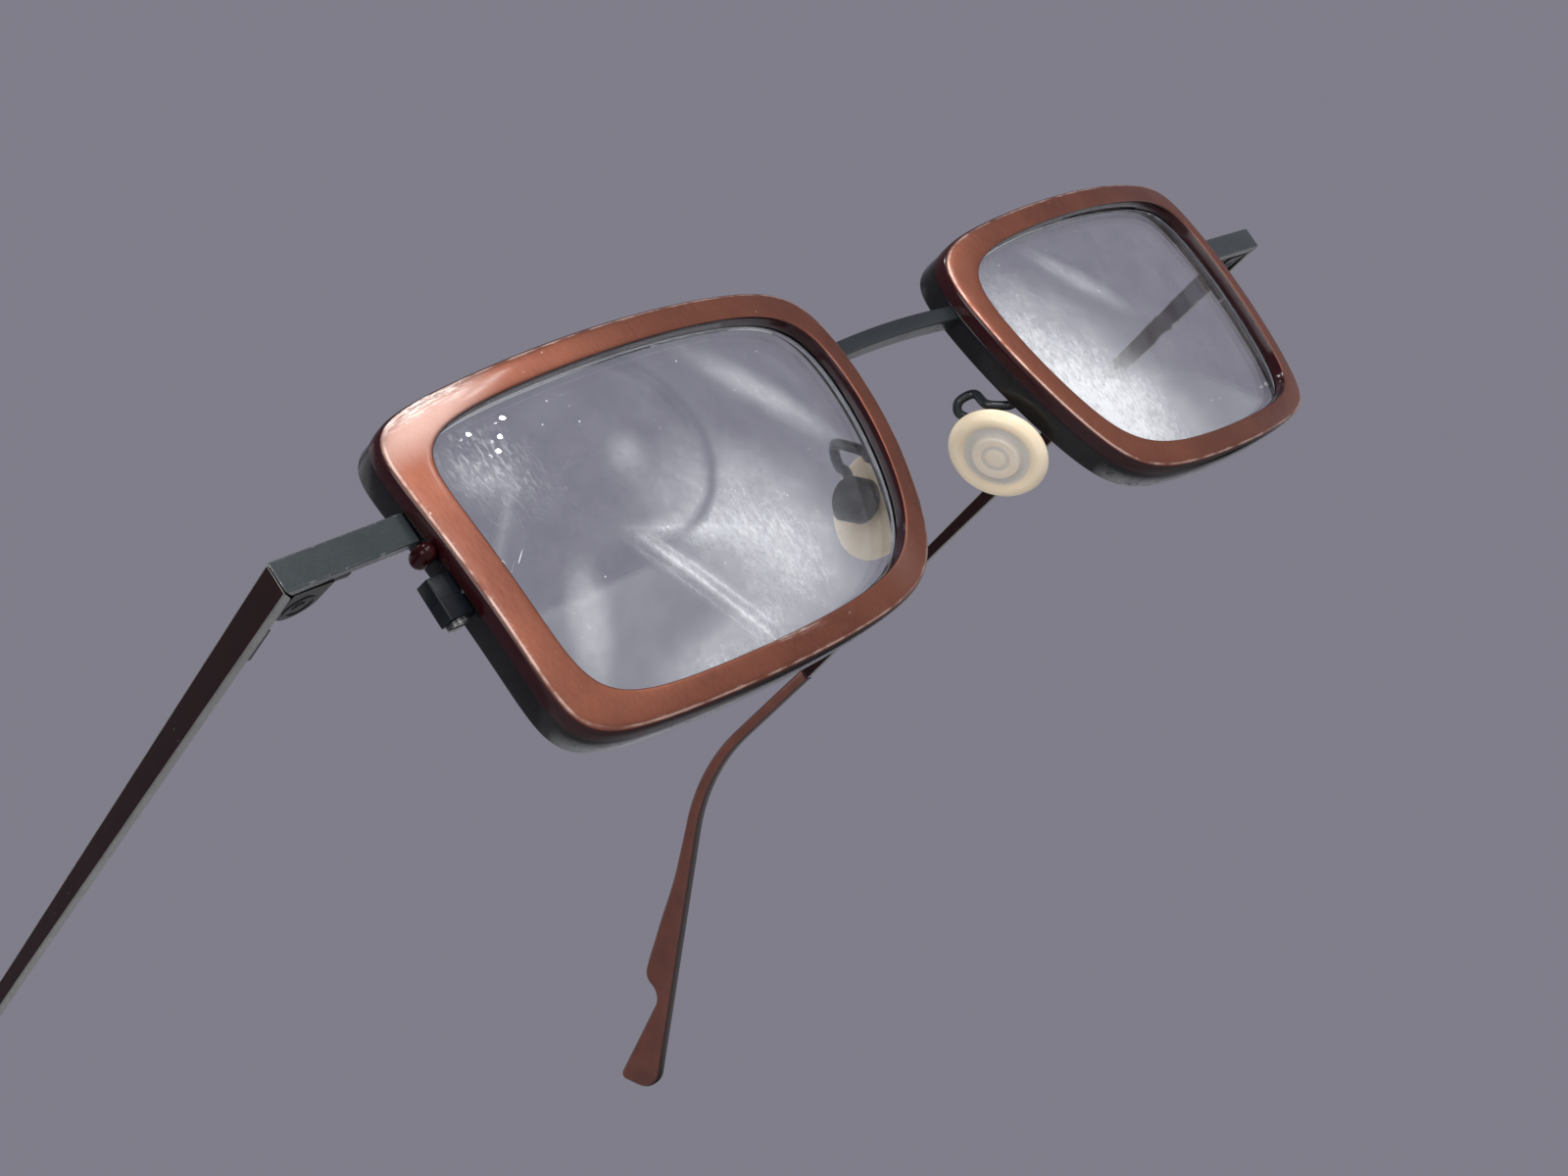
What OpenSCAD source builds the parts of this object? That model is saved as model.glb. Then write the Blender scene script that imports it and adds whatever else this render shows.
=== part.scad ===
// Angular full-rim eyeglasses, open and standing on the rims and the temple tips.
// Each piece is drawn as worn: X across, Y back from the front, Z up, with the
// origin midway between the lenses. The last step leans the whole pair back.

/* [Lens shape] */
// Half of the distance between the two lens centres
eye_x = 33.6; // [31:0.2:38]
// Lens centre to the top edge of the front ring
top_reach = 14.4; // [12:0.1:18]
// Lens centre to the bottom edge of the front ring
bottom_reach = 14.4; // [12:0.1:18]
// Lens centre to the slanting edge beside the nose
nose_reach = 21.5; // [19:0.1:24]
// Slant of the edge beside the nose, in degrees
nose_slant = 35.9; // [30:0.1:40]
// Lens centre to the edge beside the temple
temple_reach = 21.5; // [19:0.1:24]
// Slant of the edge beside the temple, in degrees
temple_slant = 3.3; // [0:0.1:6]
// Radius of the bowed top edge
top_bow = 290; // [150:5:500]
// Radius of the bowed bottom edge
bottom_bow = 123; // [80:1:300]
// Radius of the bowed edge beside the nose
nose_bow = 37; // [30:0.5:60]
// Lens centre to the line that softens the corner above the nose
corner_cut = 31; // [29:0.5:36]
// Sharpness of the corners of the outline
corner_power = 10.5; // [7:0.1:14]
// Radius of the sphere that the front follows
face_bow = 85; // [70:1:200]
// Turn of each lens round the face, in degrees
face_wrap = 3.5; // [0:0.1:6]

/* [Front ring] */
// Width of the ring's face
ring_face = 2.3; // [1.8:0.05:3]
// Width of the ring's face beside the temple
ring_face_side = 2.75; // [1.8:0.05:3.5]
// Thickness of the ring at its outer edge
ring_thick = 1.35; // [1.2:0.05:2]
// Drop of the domed face from its crest to the lens
ring_dome = 0.35; // [0.3:0.05:0.9]

/* [Metal rim] */
// Depth of the metal rim behind the ring
rim_depth = 2.2; // [1.7:0.05:3]
// Thickness of the rim's wall
rim_wall = 1.9; // [1.4:0.05:2.1]
// Depth of the groove that holds the lens
groove = 0.45; // [0.3:0.05:0.6]
// Film of glue between the ring, the rim and what is fixed to them
glue = 0.05; // [0.04:0.01:0.1]
// Slit in the rim at the closing block
rim_slit = 0.3; // [0.2:0.05:0.6]

/* [Lens] */
// Thickness of the lens
lens_thick = 1.5; // [1.2:0.1:1.8]
// Space between the lens and the rim
lens_play = 0.15; // [0.12:0.01:0.2]

/* [Bridge] */
// Height of the bridge bar
bridge_height = 1.4; // [1:0.1:2]
// Depth of the bridge bar
bridge_depth = 1.8; // [1.2:0.1:2.4]
// Top of the bridge at its ends, above the lens centre
bridge_z = 8.2; // [6:0.1:9]
// Rise of the bridge in the middle
bridge_rise = 0.35; // [0.1:0.05:1]

/* [End piece] */
// Half of the width over the outer corners
corner_x = 67.0; // [64:0.2:72]
// Height of the end piece and of the temple at the corner
bar_height = 2.3; // [2:0.1:3]
// Thickness of the end piece and the temple
bar_thick = 1.0; // [0.8:0.05:1.2]
// Front of the end piece, back from the origin
bar_y = 6.0; // [5:0.1:7]
// Middle of the end piece at the corner, above the lens centre
bar_z = 5.8; // [5:0.1:7]
// Fall of the end piece towards the corner, in degrees
bar_fall = 1.5; // [0:0.1:3]

/* [Hinge] */
// Radius of the hinge knuckles
knuckle_r = 1.7; // [1.4:0.05:1.8]
// Hinge axis, in from the temple's inner face
hinge_in = 2.1; // [1.8:0.05:2.4]
// Hinge axis, back from the front of the end piece
hinge_back = 3.4; // [3.2:0.05:4]
// Radius of the hinge screw
hinge_screw_r = 0.55; // [0.4:0.05:0.7]
// Running clearance between the hinge pieces
hinge_play = 0.06; // [0.05:0.01:0.1]

/* [Temple] */
// Length of the flat metal temple, from the corner to the tip
temple_length = 82; // [70:1:95]
// Length over which the temple tapers
taper_length = 55; // [40:1:65]
// Height of the temple after the taper
temple_height = 1.35; // [1.1:0.05:1.8]
// Fall of the temple, in degrees
temple_fall = 5.25; // [3:0.05:8]
// Turn of the temple towards the head, in degrees
temple_splay = 2.2; // [0:0.1:4]

/* [Temple tip] */
// Straight length of the tip before its bend
tip_straight = 21.4; // [18:0.2:26]
// Length of the tip after its bend
tip_drop = 47.5; // [42:0.5:54]
// Bend of the tip, in degrees below level
tip_angle = 40.7; // [30:0.1:50]
// Radius of the bend
tip_bend = 26; // [20:1:35]
// Thickness of the tip
tip_thick = 1.7; // [1.6:0.05:2.4]
// Height of the tip where it meets the temple
tip_height = 1.5; // [1.4:0.05:2]
// Height of the tip at the end of its bend
tip_neck = 1.8; // [1.6:0.05:2.2]
// Bend's corner to the hooked step
tip_step = 30.2; // [26:0.1:33]
// Height of the tip at its hooked step
tip_step_height = 4.46; // [3.5:0.02:5]
// Bend's corner to the notch behind the step
tip_notch = 34.2; // [33:0.1:38]
// Radius of the notch
notch_r = 2.4; // [1.6:0.1:2.6]
// Height of the tip in the notch
tip_notch_height = 2.15; // [1.8:0.05:3]
// Radius of the tip's round end
tip_round = 2.9; // [2:0.1:3.2]
// Height of the tip at its end
tip_end_height = 5.8; // [5:0.05:7]
// Extra turn of the tip towards the head, in degrees
tip_lean = 6; // [0:0.5:10]
// Length of the metal core inside the tip
core_length = 16; // [10:1:18]
// Height of the metal core
core_height = 0.8; // [0.6:0.05:0.9]
// Thickness of the metal core
core_thick = 0.7; // [0.5:0.05:0.9]
// Space round the metal core
core_play = 0.04; // [0.03:0.01:0.08]

/* [Nose pads] */
// Centre of the pad, in from the rim beside the nose
pad_in = 1.83; // [1.6:0.01:2.4]
// Centre of the pad, back from the origin
pad_y = 8.65; // [7.5:0.05:10]
// Centre of the pad, below the lens centre
pad_drop = 4.3; // [3:0.1:6]
// Radius of the pad
pad_r = 4.5; // [4:0.1:5]
// Thickness of the pad at its rim
pad_rim = 1.0; // [0.8:0.05:1.4]
// Height of the pad's crown over its rim
pad_crown = 0.45; // [0.3:0.05:0.6]
// Tip of the pad's face down from level, in degrees
pad_tip = 25; // [15:1:35]
// Turn of the pad's face towards the back, in degrees
pad_turn = 3.2; // [0:0.1:10]
// Radius of the stiff core in the pad
pad_core_r = 2.4; // [2:0.1:3]
// Radius of the pad box
box_r = 1.8; // [1.5:0.05:2]
// Depth of the pad box
box_depth = 1.9; // [1.6:0.1:2.2]
// Radius of the pad screw
pad_screw_r = 0.35; // [0.3:0.05:0.45]
// Radius of the pad arm's wire
wire_r = 0.42; // [0.35:0.01:0.5]

/* [Closing block] */
// Width of the closing block, out from the rim
block_out = 2.05; // [1.9:0.05:3]
// Depth of the closing block
block_depth = 1.4; // [1.3:0.05:1.8]
// Height of each half of the closing block
block_half = 1.45; // [1.2:0.05:1.8]
// Middle of the slit, above the lens centre
block_z = 0.6; // [0:0.1:1]
// Radius of the rim screw
rim_screw_r = 0.45; // [0.35:0.05:0.5]

/* [Hidden] */

$fn = 48;
eps = 0.01;
// Sections round each lens
steps = 96;
nearly_straight = 2000;
// Size of the shapes that cut holes and mitres
cutter = 10;
// Height of a screw's head and width of its slot
head_height = 0.35;
head_slot = 0.3;

// Outline of a ring, rim or lens: bowed sides, each [angle, reach, bow, ring width]
sides = [
    [90, top_reach, top_bow, ring_face],
    [-90, bottom_reach, bottom_bow, ring_face],
    [180 + nose_slant, nose_reach, nose_bow, ring_face],
    [-temple_slant, temple_reach, nearly_straight, ring_face_side],
    [(90 + 180 + nose_slant) / 2 - 2, corner_cut, nearly_straight, ring_face]
];
// How far a side lies from the centre along a direction, with its edge moved in
function side_at(side, angle, inset) =
    let (turn = angle - side[0], off = side[1] - side[2])
    off * cos(turn) + sqrt(pow(side[2] - inset, 2) - pow(off * sin(turn), 2));
function total(list) = list * [for (item = list) 1];
// Distance to the outline: the sides meet in soft corners
function reach_at(angle, insets, power) =
    pow(total([for (i = [0:len(sides) - 1]) if (cos(angle - sides[i][0]) > 0.05)
        pow(side_at(sides[i], angle, insets[i]), -power)]), -1 / power);
// Sharpness of a corner, softer further in
function power_at(inset) = corner_power - 1.2 * inset;
// A point of the outline, as [across, up], the same distance in on every side
function even_point(angle, inset) =
    reach_at(angle, [for (side = sides) inset], power_at(inset)) * [cos(angle), sin(angle)];
// A point of the ring's face, from 0 at its outer edge to 1 at the lens
function face_point(angle, share) =
    reach_at(angle, [for (side = sides) side[3] * share], power_at(ring_face * share))
    * [cos(angle), sin(angle)];
// Places a flat point on the bowed front, some depth behind its face
function on_front(flat, depth) =
    [flat[0], (flat * flat) / (2 * face_bow) + depth, flat[1]];

// Triangles between neighbouring sections, each with the same number of points
function band(count, size, closed) = [
    for (k = [0:count - (closed ? 1 : 2)], j = [0:size - 1])
        let (a = k * size + j, b = k * size + (j + 1) % size,
             c = (k + 1) % count * size + j, d = (k + 1) % count * size + (j + 1) % size)
        each [[a, b, d], [a, d, c]]
];
function fan(first, size, flip) = [
    for (j = [1:size - 2]) flip ? [first, first + j + 1, first + j] : [first, first + j, first + j + 1]
];

// Depths behind the face of the front
rim_front = ring_thick + glue;
rim_back = rim_front + rim_depth;
lens_front = rim_front + 0.1;
lens_back = lens_front + lens_thick;
groove_depth = (lens_front + lens_back) / 2;
lip = 0.4;
rim_inset = 0.1;

// Section of the front ring: [share of its face, depth]
ring_section = [
    [0, ring_thick], [0, 0.5], [0.1, 0.15], [0.3, 0], [0.6, 0.1 * ring_dome],
    [0.88, 0.6 * ring_dome], [1, ring_dome], [1, ring_thick]
];
// Section of the metal rim, open: [inset, depth], starting in its outer wall
rim_section = [
    [rim_inset, groove_depth], [rim_inset, rim_front + 0.15], [0.25, rim_front], [rim_wall, rim_front],
    [rim_wall, groove_depth - lip], [rim_wall - groove, groove_depth],
    [rim_wall, groove_depth + lip], [rim_wall, rim_back], [0.35, rim_back], [rim_inset, rim_back - 0.25]
];
// Section of the lens: [inset, scale, depth]
lens_section = [
    [rim_wall + groove, 0.35, lens_front], [rim_wall + groove, 0.7, lens_front],
    [rim_wall + groove, 1, lens_front], [rim_wall - groove + lens_play, 1, groove_depth],
    [rim_wall + groove, 1, lens_back], [rim_wall + groove, 0.7, lens_back],
    [rim_wall + groove, 0.35, lens_back]
];

// A flat point of the front at a depth behind its face, as worn
function worn(flat, depth) =
    let (deep = (flat * flat) / (2 * face_bow) + depth)
    [eye_x + flat[0] * cos(face_wrap) - deep * sin(face_wrap),
     flat[0] * sin(face_wrap) + deep * cos(face_wrap), flat[1]];
// Direction from the lens centre to a height beside the temple, or beside the nose
function rim_angle(z, away) = away > 0 ? atan2(z, temple_reach) : 180 - atan2(z, nose_reach + 2);
// Outer wall of the rim at a height and a depth, as worn
function rim_side(z, away, depth) = worn(even_point(rim_angle(z, away), rim_inset), depth);
// How far out the wall comes beside the temple, or how near the middle beside the nose
function wall_out(low, high, depth) = max(rim_side(low, 1, depth)[0], rim_side(high, 1, depth)[0]);
function wall_in(low, high, depth) = min([for (k = [0:4]) rim_side(low + (high - low) * k / 4, -1, depth)[0]]);

block_front = rim_front + 0.1;
block_top = block_z + rim_slit / 2 + block_half;
block_low = block_z - rim_slit / 2 - block_half;
block_x = wall_out(block_low, block_top, block_front) + glue;
block_y = rim_side(block_z, 1, block_front)[1];
slit_angle = atan2(block_z, temple_reach);
slit_half = atan2(rim_slit / 2, temple_reach);
bar_x = wall_out(bar_z - bar_height / 2, bar_z + bar_height / 2, rim_front) + glue;
bridge_low = bridge_z - bridge_height;
bridge_front = rim_front + 0.1;
bridge_x = wall_in(bridge_low, bridge_z + 0.2, bridge_front + bridge_depth) - glue;
bridge_y = rim_side(bridge_low, -1, bridge_front)[1];

pad_x = rim_side(-pad_drop, -1, 0)[0] - pad_in;
hinge_x = corner_x - bar_thick - hinge_in;
hinge_y = bar_y + hinge_back;
hinge_low = bar_z - bar_height / 2;
knuckle = (bar_height - 2 * hinge_play) / 3;

tip_y = temple_length * sin(90 - temple_splay);
function fall(length) = -length * tan(temple_fall);

// A point beside the tip's lower edge after the bend: length from the bend's corner, height
function drop_point(along, height) =
    [tip_straight + along * cos(tip_angle) + height * sin(tip_angle),
     fall(tip_straight) - tip_height / 2 - along * sin(tip_angle) + height * cos(tip_angle)];
// A point of the tip's side view, as worn: [back, up]
function tip_worn(point) =
    [bar_y + tip_y + point[0] * cos(temple_splay + tip_lean), bar_z + fall(temple_length) + point[1]];

tip_corner_r = 0.85;

// Where the pair stands: on the front rings and on the round ends of the tips
foot = [pow(bottom_reach, 2) / (2 * face_bow) + 0.4, -bottom_reach];
tip_foot = tip_worn(drop_point(tip_drop - tip_round, tip_round));
lean = atan2(foot[1] - tip_foot[1], tip_foot[0] - foot[0]) + asin(tip_round / norm(tip_foot - foot));
lift = bottom_reach * cos(lean) - foot[0] * sin(lean);
front_y = pow(top_reach, 2) / (2 * face_bow) - 0.2 - top_reach * sin(lean);
tip_back = tip_worn(drop_point(tip_drop - 0.16 * tip_corner_r, tip_end_height - 0.46 * tip_corner_r));
back_y = tip_back[0] * cos(lean) - tip_back[1] * sin(lean);
mid_y = (back_y + front_y) / 2;

// Stands the worn pair on its rims and tips
module stand() {
    translate([0, -mid_y, lift]) rotate([lean, 0, 0]) children();
}
module left() {
    stand() children();
}
module right() {
    stand() mirror([1, 0, 0]) children();
}
// The lens centre and its turn round the face
module at_eye() {
    translate([eye_x, 0, 0]) rotate([0, 0, face_wrap]) children();
}
// The outer corner, with Y along the temple
module at_corner() {
    translate([corner_x, bar_y, bar_z]) rotate([0, 0, temple_splay]) children();
}
// The joint between temple and tip, with Y along the tip
module at_tip() {
    at_corner() translate([0, temple_length, fall(temple_length)]) rotate([0, 0, tip_lean]) children();
}
// The hinge axis at the bottom of its knuckles
module at_hinge() {
    translate([hinge_x, hinge_y, hinge_low]) children();
}
// The pad's centre, with Z out of its face and Y along its screw
module at_pad() {
    translate([pad_x, pad_y, -pad_drop]) rotate([0, 90 + pad_tip, 180 - pad_turn]) children();
}
// A flat shape in the YZ plane, from its outer face inwards
module side_plate(thick, start = 0) {
    translate([-start, 0, 0]) rotate([90, 0, -90]) mirror([1, 0, 0]) linear_extrude(thick) children();
}
// A slotted screw that stands on the base plane: head below, shaft up
module screw(shaft_r, shaft_length, head_r) {
    difference() {
        union() {
            cylinder(r = shaft_r, h = shaft_length);
            translate([0, 0, -head_height]) cylinder(r = head_r, h = head_height);
        }
        translate([-head_r - eps, -head_slot / 2, -head_height - eps])
            cube([2 * head_r + 2 * eps, head_slot, head_height / 2]);
    }
}

module front_ring() {
    points = [for (k = [0:steps - 1], p = ring_section)
        on_front(face_point(k * 360 / steps, p[0]), p[1])];
    color([0.62, 0.36, 0.29]) at_eye() polyhedron(points, band(steps, len(ring_section), true), 4);
}

// Round lug of the front ring, which reaches back over the rim under the end piece
module ring_lug() {
    lug_r = 0.75;
    lug_length = 0.7;
    lug_z = bar_z - bar_height / 2 - lug_r - glue;
    lug_x = wall_out(lug_z - lug_r, lug_z + lug_r, ring_thick - lug_r) + lug_r + glue;
    lug_y = rim_side(lug_z, 1, ring_thick)[1];
    color([0.3, 0.1, 0.1]) translate([lug_x, lug_y, lug_z]) {
        rotate([-90, 0, 0]) cylinder(r = lug_r, h = lug_length);
        sphere(r = lug_r);
        translate([0, lug_length, 0]) sphere(r = lug_r);
    }
}

module rim() {
    start = slit_angle + slit_half;
    sweep = 360 - 2 * slit_half;
    size = len(rim_section);
    points = [for (k = [0:steps], p = rim_section)
        on_front(even_point(start + k * sweep / steps, p[0]), p[1])];
    faces = concat(band(steps + 1, size, false), fan(0, size, true), fan(steps * size, size, false));
    color([0.16, 0.18, 0.19]) at_eye() polyhedron(points, faces, 4);
}

module lens() {
    size = len(lens_section);
    ring_points = [for (p = lens_section, k = [0:steps - 1])
        on_front(p[1] * even_point(k * 360 / steps, p[0]), p[2])];
    points = concat(ring_points, [on_front([0, 0], lens_front), on_front([0, 0], lens_back)]);
    walls = [for (i = [0:size - 2], k = [0:steps - 1])
        let (a = i * steps + k, b = i * steps + (k + 1) % steps)
            each [[a, a + steps, b + steps], [a, b + steps, b]]];
    caps = [for (k = [0:steps - 1]) let (next = (k + 1) % steps, last = (size - 1) * steps)
        each [[size * steps, k, next], [size * steps + 1, last + next, last + k]]];
    color([0.85, 0.9, 0.92, 0.4]) at_eye() polyhedron(points, concat(walls, caps), 4);
}

module bridge() {
    half = bridge_x;
    bow = (half * half + bridge_rise * bridge_rise) / (2 * bridge_rise);
    color([0.2, 0.22, 0.23]) stand() translate([0, bridge_y + bridge_depth, 0]) rotate([90, 0, 0])
        linear_extrude(bridge_depth)
            intersection() {
                translate([0, bridge_z + bridge_rise - bow]) difference() {
                    circle(r = bow, $fn = 360);
                    circle(r = bow - bridge_height, $fn = 360);
                }
                translate([-half, 0]) square([2 * half, 2 * bridge_z]);
            }
}

// Half of the closing block, with the hole for the rim screw
module block(low) {
    difference() {
        translate([block_x, block_y, low]) cube([block_out, block_depth, block_half]);
        translate([block_x + block_out * 0.6, block_y + block_depth / 2, low - 1])
            cylinder(r = rim_screw_r + hinge_play, h = block_half + 2);
    }
}
module block_upper() {
    color([0.14, 0.16, 0.18]) block(block_top - block_half);
}
module block_lower() {
    color([0.14, 0.16, 0.18]) block(block_low);
}
module rim_screw() {
    color([0.3, 0.3, 0.3])
        translate([block_x + block_out * 0.6, block_y + block_depth / 2,
                   block_low - glue])
            screw(rim_screw_r, 2 * block_half + rim_slit - 0.3, rim_screw_r + 0.3);
}

// Flat bar from the rim to the mitred corner
module end_piece() {
    bar_length = corner_x - bar_x;
    color([0.2, 0.22, 0.23]) translate([corner_x, bar_y, bar_z]) rotate([0, bar_fall, 0])
        translate([-bar_length, 0, -bar_height / 2]) linear_extrude(bar_height)
            polygon([[0, 0], [bar_length, 0], [bar_length - bar_thick, bar_thick], [0, bar_thick]]);
}

// Two outer knuckles and the plate that joins them to the end piece
module hinge_front() {
    reach = hinge_back - bar_thick - glue;
    plate = reach - knuckle_r - hinge_play - 0.04;
    color([0.25, 0.26, 0.26]) at_hinge() difference() {
        union() {
            for (low = [0, 2 * (knuckle + hinge_play)]) translate([0, 0, low]) {
                cylinder(r = knuckle_r, h = knuckle);
                translate([-knuckle_r, -reach, 0]) cube([2 * knuckle_r, reach, knuckle]);
            }
            translate([-knuckle_r - 1.5, -reach, 0.15])
                cube([2 * knuckle_r + 1.5, plate, bar_height - 0.3]);
        }
        translate([0, 0, -1]) cylinder(r = hinge_screw_r + hinge_play, h = bar_height + 2);
    }
}

// Middle knuckle and the leaf that joins it to the temple
module hinge_temple() {
    leaf_thick = 0.5;
    leaf_length = 3.5;
    leaf_start = hinge_back + knuckle_r + 0.4;
    leaf_end = leaf_start + leaf_length;
    leaf_half = bar_height / 2 - 0.25;
    color([0.25, 0.26, 0.26]) difference() {
        union() {
            at_hinge() translate([0, 0, knuckle + hinge_play]) cylinder(r = knuckle_r, h = knuckle);
            at_corner() translate([-bar_thick - hinge_in, hinge_back - knuckle_r / 2, -knuckle / 2])
                cube([hinge_in - glue, knuckle_r, knuckle]);
            at_corner() side_plate(leaf_thick, bar_thick + glue)
                polygon([
                    [hinge_back, knuckle / 2], [leaf_start, knuckle / 2],
                    [leaf_start, fall(leaf_start) + leaf_half], [leaf_end, fall(leaf_end) + leaf_half],
                    [leaf_end, fall(leaf_end) - leaf_half], [leaf_start, fall(leaf_start) - leaf_half],
                    [leaf_start, -knuckle / 2], [hinge_back, -knuckle / 2]
                ]);
        }
        at_hinge() translate([0, 0, -1]) cylinder(r = hinge_screw_r + hinge_play, h = bar_height + 2);
    }
}

module hinge_screw() {
    color([0.35, 0.35, 0.34]) at_hinge() translate([0, 0, bar_height + glue]) mirror([0, 0, 1])
        screw(hinge_screw_r, bar_height, hinge_screw_r + 0.35);
}

// Flat tapering bar with a mitred front end and a thin core for the tip
module temple() {
    half_front = bar_height / 2;
    half_back = temple_height / 2;
    mitre = 0.1;
    color([0.13, 0.1, 0.1]) {
        difference() {
            at_corner() side_plate(bar_thick)
                polygon([
                    [0, half_front], [taper_length, fall(taper_length) + half_back],
                    [temple_length, fall(temple_length) + half_back],
                    [temple_length, fall(temple_length) - half_back],
                    [taper_length, fall(taper_length) - half_back], [0, -half_front]
                ]);
            translate([corner_x, bar_y + mitre, bar_z]) rotate([0, 0, -45])
                translate([-cutter / 2, -cutter, -cutter / 2]) cube(cutter);
        }
        at_tip() side_plate(core_thick, (bar_thick - core_thick) / 2) tip_core(0);
    }
}

// Side view of the core, with some space round it
module tip_core(play) {
    polygon([
        [-0.3, core_height / 2 + play], [core_length + play, fall(core_length) + core_height / 2 + play],
        [core_length + play, fall(core_length) - core_height / 2 - play], [-0.3, -core_height / 2 - play]
    ]);
}

// Start of the turned tip, clear of the temple's end
tip_gap = glue + bar_thick * sin(tip_lean);
tip_turn = tip_angle - temple_fall;
tip_tangent = tip_bend * tan(tip_turn / 2);
// The bend's lower edge, or its upper edge at a height over it
function bend_arc(height_0, height_1) =
    let (start = tip_straight - tip_tangent * cos(temple_fall),
         centre = [start - tip_bend * sin(temple_fall),
                   fall(start) - tip_height / 2 - tip_bend * cos(temple_fall)])
    [for (k = [0:8]) let (turn = temple_fall + tip_turn * k / 8,
                          r = tip_bend + height_0 + (height_1 - height_0) * k / 8)
        centre + r * [sin(turn), cos(turn)]];

// Side view of the tip: a slender neck, a bend, a hooked step, a notch and a paddle
module tip_outline() {
    corner_at = [tip_drop - tip_corner_r, tip_end_height - tip_corner_r];
    notch_at = [tip_notch, tip_notch_height + notch_r];
    rise = tip_step_height - tip_neck;
    polygon(concat(
        [[tip_gap, -tip_height / 2]],
        bend_arc(0, 0),
        [for (a = [-90:15:0]) arc_point([tip_drop - tip_round, tip_round], tip_round, a)],
        [for (a = [0:21:105]) arc_point(corner_at, tip_corner_r, a)],
        [for (a = [290:-15:200]) arc_point(notch_at, notch_r, a)],
        [drop_point(tip_step, tip_step_height), drop_point(tip_step - 0.5, tip_step_height + 0.03),
         drop_point(tip_step * 0.84, tip_neck + rise * 0.76), drop_point(tip_step * 0.74, tip_neck + rise * 0.6),
         drop_point(tip_step * 0.53, tip_neck + rise * 0.22)],
        [for (k = [8:-1:0]) bend_arc(tip_height, tip_neck)[k]],
        [[tip_gap, tip_height / 2]]
    ));
}
function arc_point(centre, r, angle) = drop_point(centre[0] + r * cos(angle), centre[1] + r * sin(angle));

module temple_tip() {
    color([0.4, 0.24, 0.2]) difference() {
        at_tip() side_plate(tip_thick, (bar_thick - tip_thick) / 2) tip_outline();
        at_tip() side_plate(core_thick + 2 * core_play, (bar_thick - core_thick) / 2 - core_play)
            tip_core(core_play);
    }
}

// Heights from the middle of the pad, along its face's direction
pad_back = -pad_rim * 0.6;
box_mouth = pad_back - 0.7;
screw_level = box_mouth - 0.8;
// Back and thickness of the stiff core's disc, and half of its square stem
core_back = -0.35;
core_disc = 0.5;
stem_half = 0.75;

// A place near the pad: below its centre, beside it along its screw, and out of its face
pad_spin = 180 - pad_turn;
pad_down = [-sin(pad_tip) * cos(pad_spin), -sin(pad_tip) * sin(pad_spin), -cos(pad_tip)];
pad_side = [-sin(pad_spin), cos(pad_spin), 0];
pad_out = [cos(pad_tip) * cos(pad_spin), cos(pad_tip) * sin(pad_spin), -sin(pad_tip)];
function pad_spot(down, side, out) =
    [pad_x, pad_y, -pad_drop] + down * pad_down + side * pad_side + out * pad_out;

// Bent wire from the rim to the pad box, through chosen places
arm_z = -1.6;
arm_root = worn(even_point(rim_angle(arm_z, -1), rim_wall * 0.35), rim_back + glue + 0.03);
arm_out = box_mouth - box_depth / 2;
arm_route = [
    arm_root, arm_root + [-0.1, 0.6, 0.15], arm_root + [-1.2, 1.6, 1.2],
    pad_spot(-pad_r - 0.1, 0.8, -3.2), pad_spot(-pad_r - 0.7, -0.25, -2.42),
    pad_spot(-pad_r - 0.15, -0.88, -1.95),
    pad_spot(-box_r - 1.8, -0.7, -2.0), pad_spot(-box_r - 0.9, -0.05, arm_out),
    pad_spot(-box_r - glue - 0.02, 0, arm_out)
];
// A smooth point between the second and third of four places
function soften(a, b, c, d, t) =
    0.5 * (2 * b + (c - a) * t + (2 * a - 5 * b + 4 * c - d) * t * t + (3 * b - a - 3 * c + d) * t * t * t);
function route_point(route, t) =
    let (last = len(route) - 1, i = min(floor(t), last - 1))
    soften(route[max(i - 1, 0)], route[i], route[i + 1], route[min(i + 2, last)], t - i);
function unit(v) = v / norm(v);
module wire(route, radius, parts, count) {
    last = (len(route) - 1) * parts;
    points = [for (k = [0:last])
        let (here = route_point(route, k / parts),
             ahead = unit(route_point(route, min(k / parts + 0.05, len(route) - 1))
                          - route_point(route, max(k / parts - 0.05, 0))),
             across = unit(cross(ahead, [0.3, 0.9, 0.3])), up = cross(across, ahead))
            for (j = [0:count - 1])
                here + radius * (cos(j * 360 / count) * across + sin(j * 360 / count) * up)];
    polyhedron(points, concat(band(last + 1, count, false), fan(0, count, true),
                              fan(last * count, count, false)), 4);
}
module pad_arm() {
    color([0.2, 0.22, 0.23]) wire(arm_route, wire_r, 3, 10);
}

// Open cup that holds the stem of the pad's core
module pad_box() {
    color([0.13, 0.15, 0.16]) at_pad() difference() {
        translate([0, 0, box_mouth - box_depth]) cylinder(r = box_r, h = box_depth);
        translate([-stem_half - 0.4, -stem_half - 0.1, box_mouth - box_depth + 0.4])
            cube([2 * stem_half + 0.8, 2 * stem_half + 0.2, box_depth]);
        translate([0, cutter / 2, screw_level]) rotate([90, 0, 0])
            cylinder(r = pad_screw_r + hinge_play, h = cutter);
    }
}

module pad_screw() {
    color([0.5, 0.5, 0.5]) at_pad() translate([0, -box_r - glue, screw_level]) rotate([-90, 0, 0])
        screw(pad_screw_r, 2 * box_r, pad_screw_r + 0.2);
}

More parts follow.
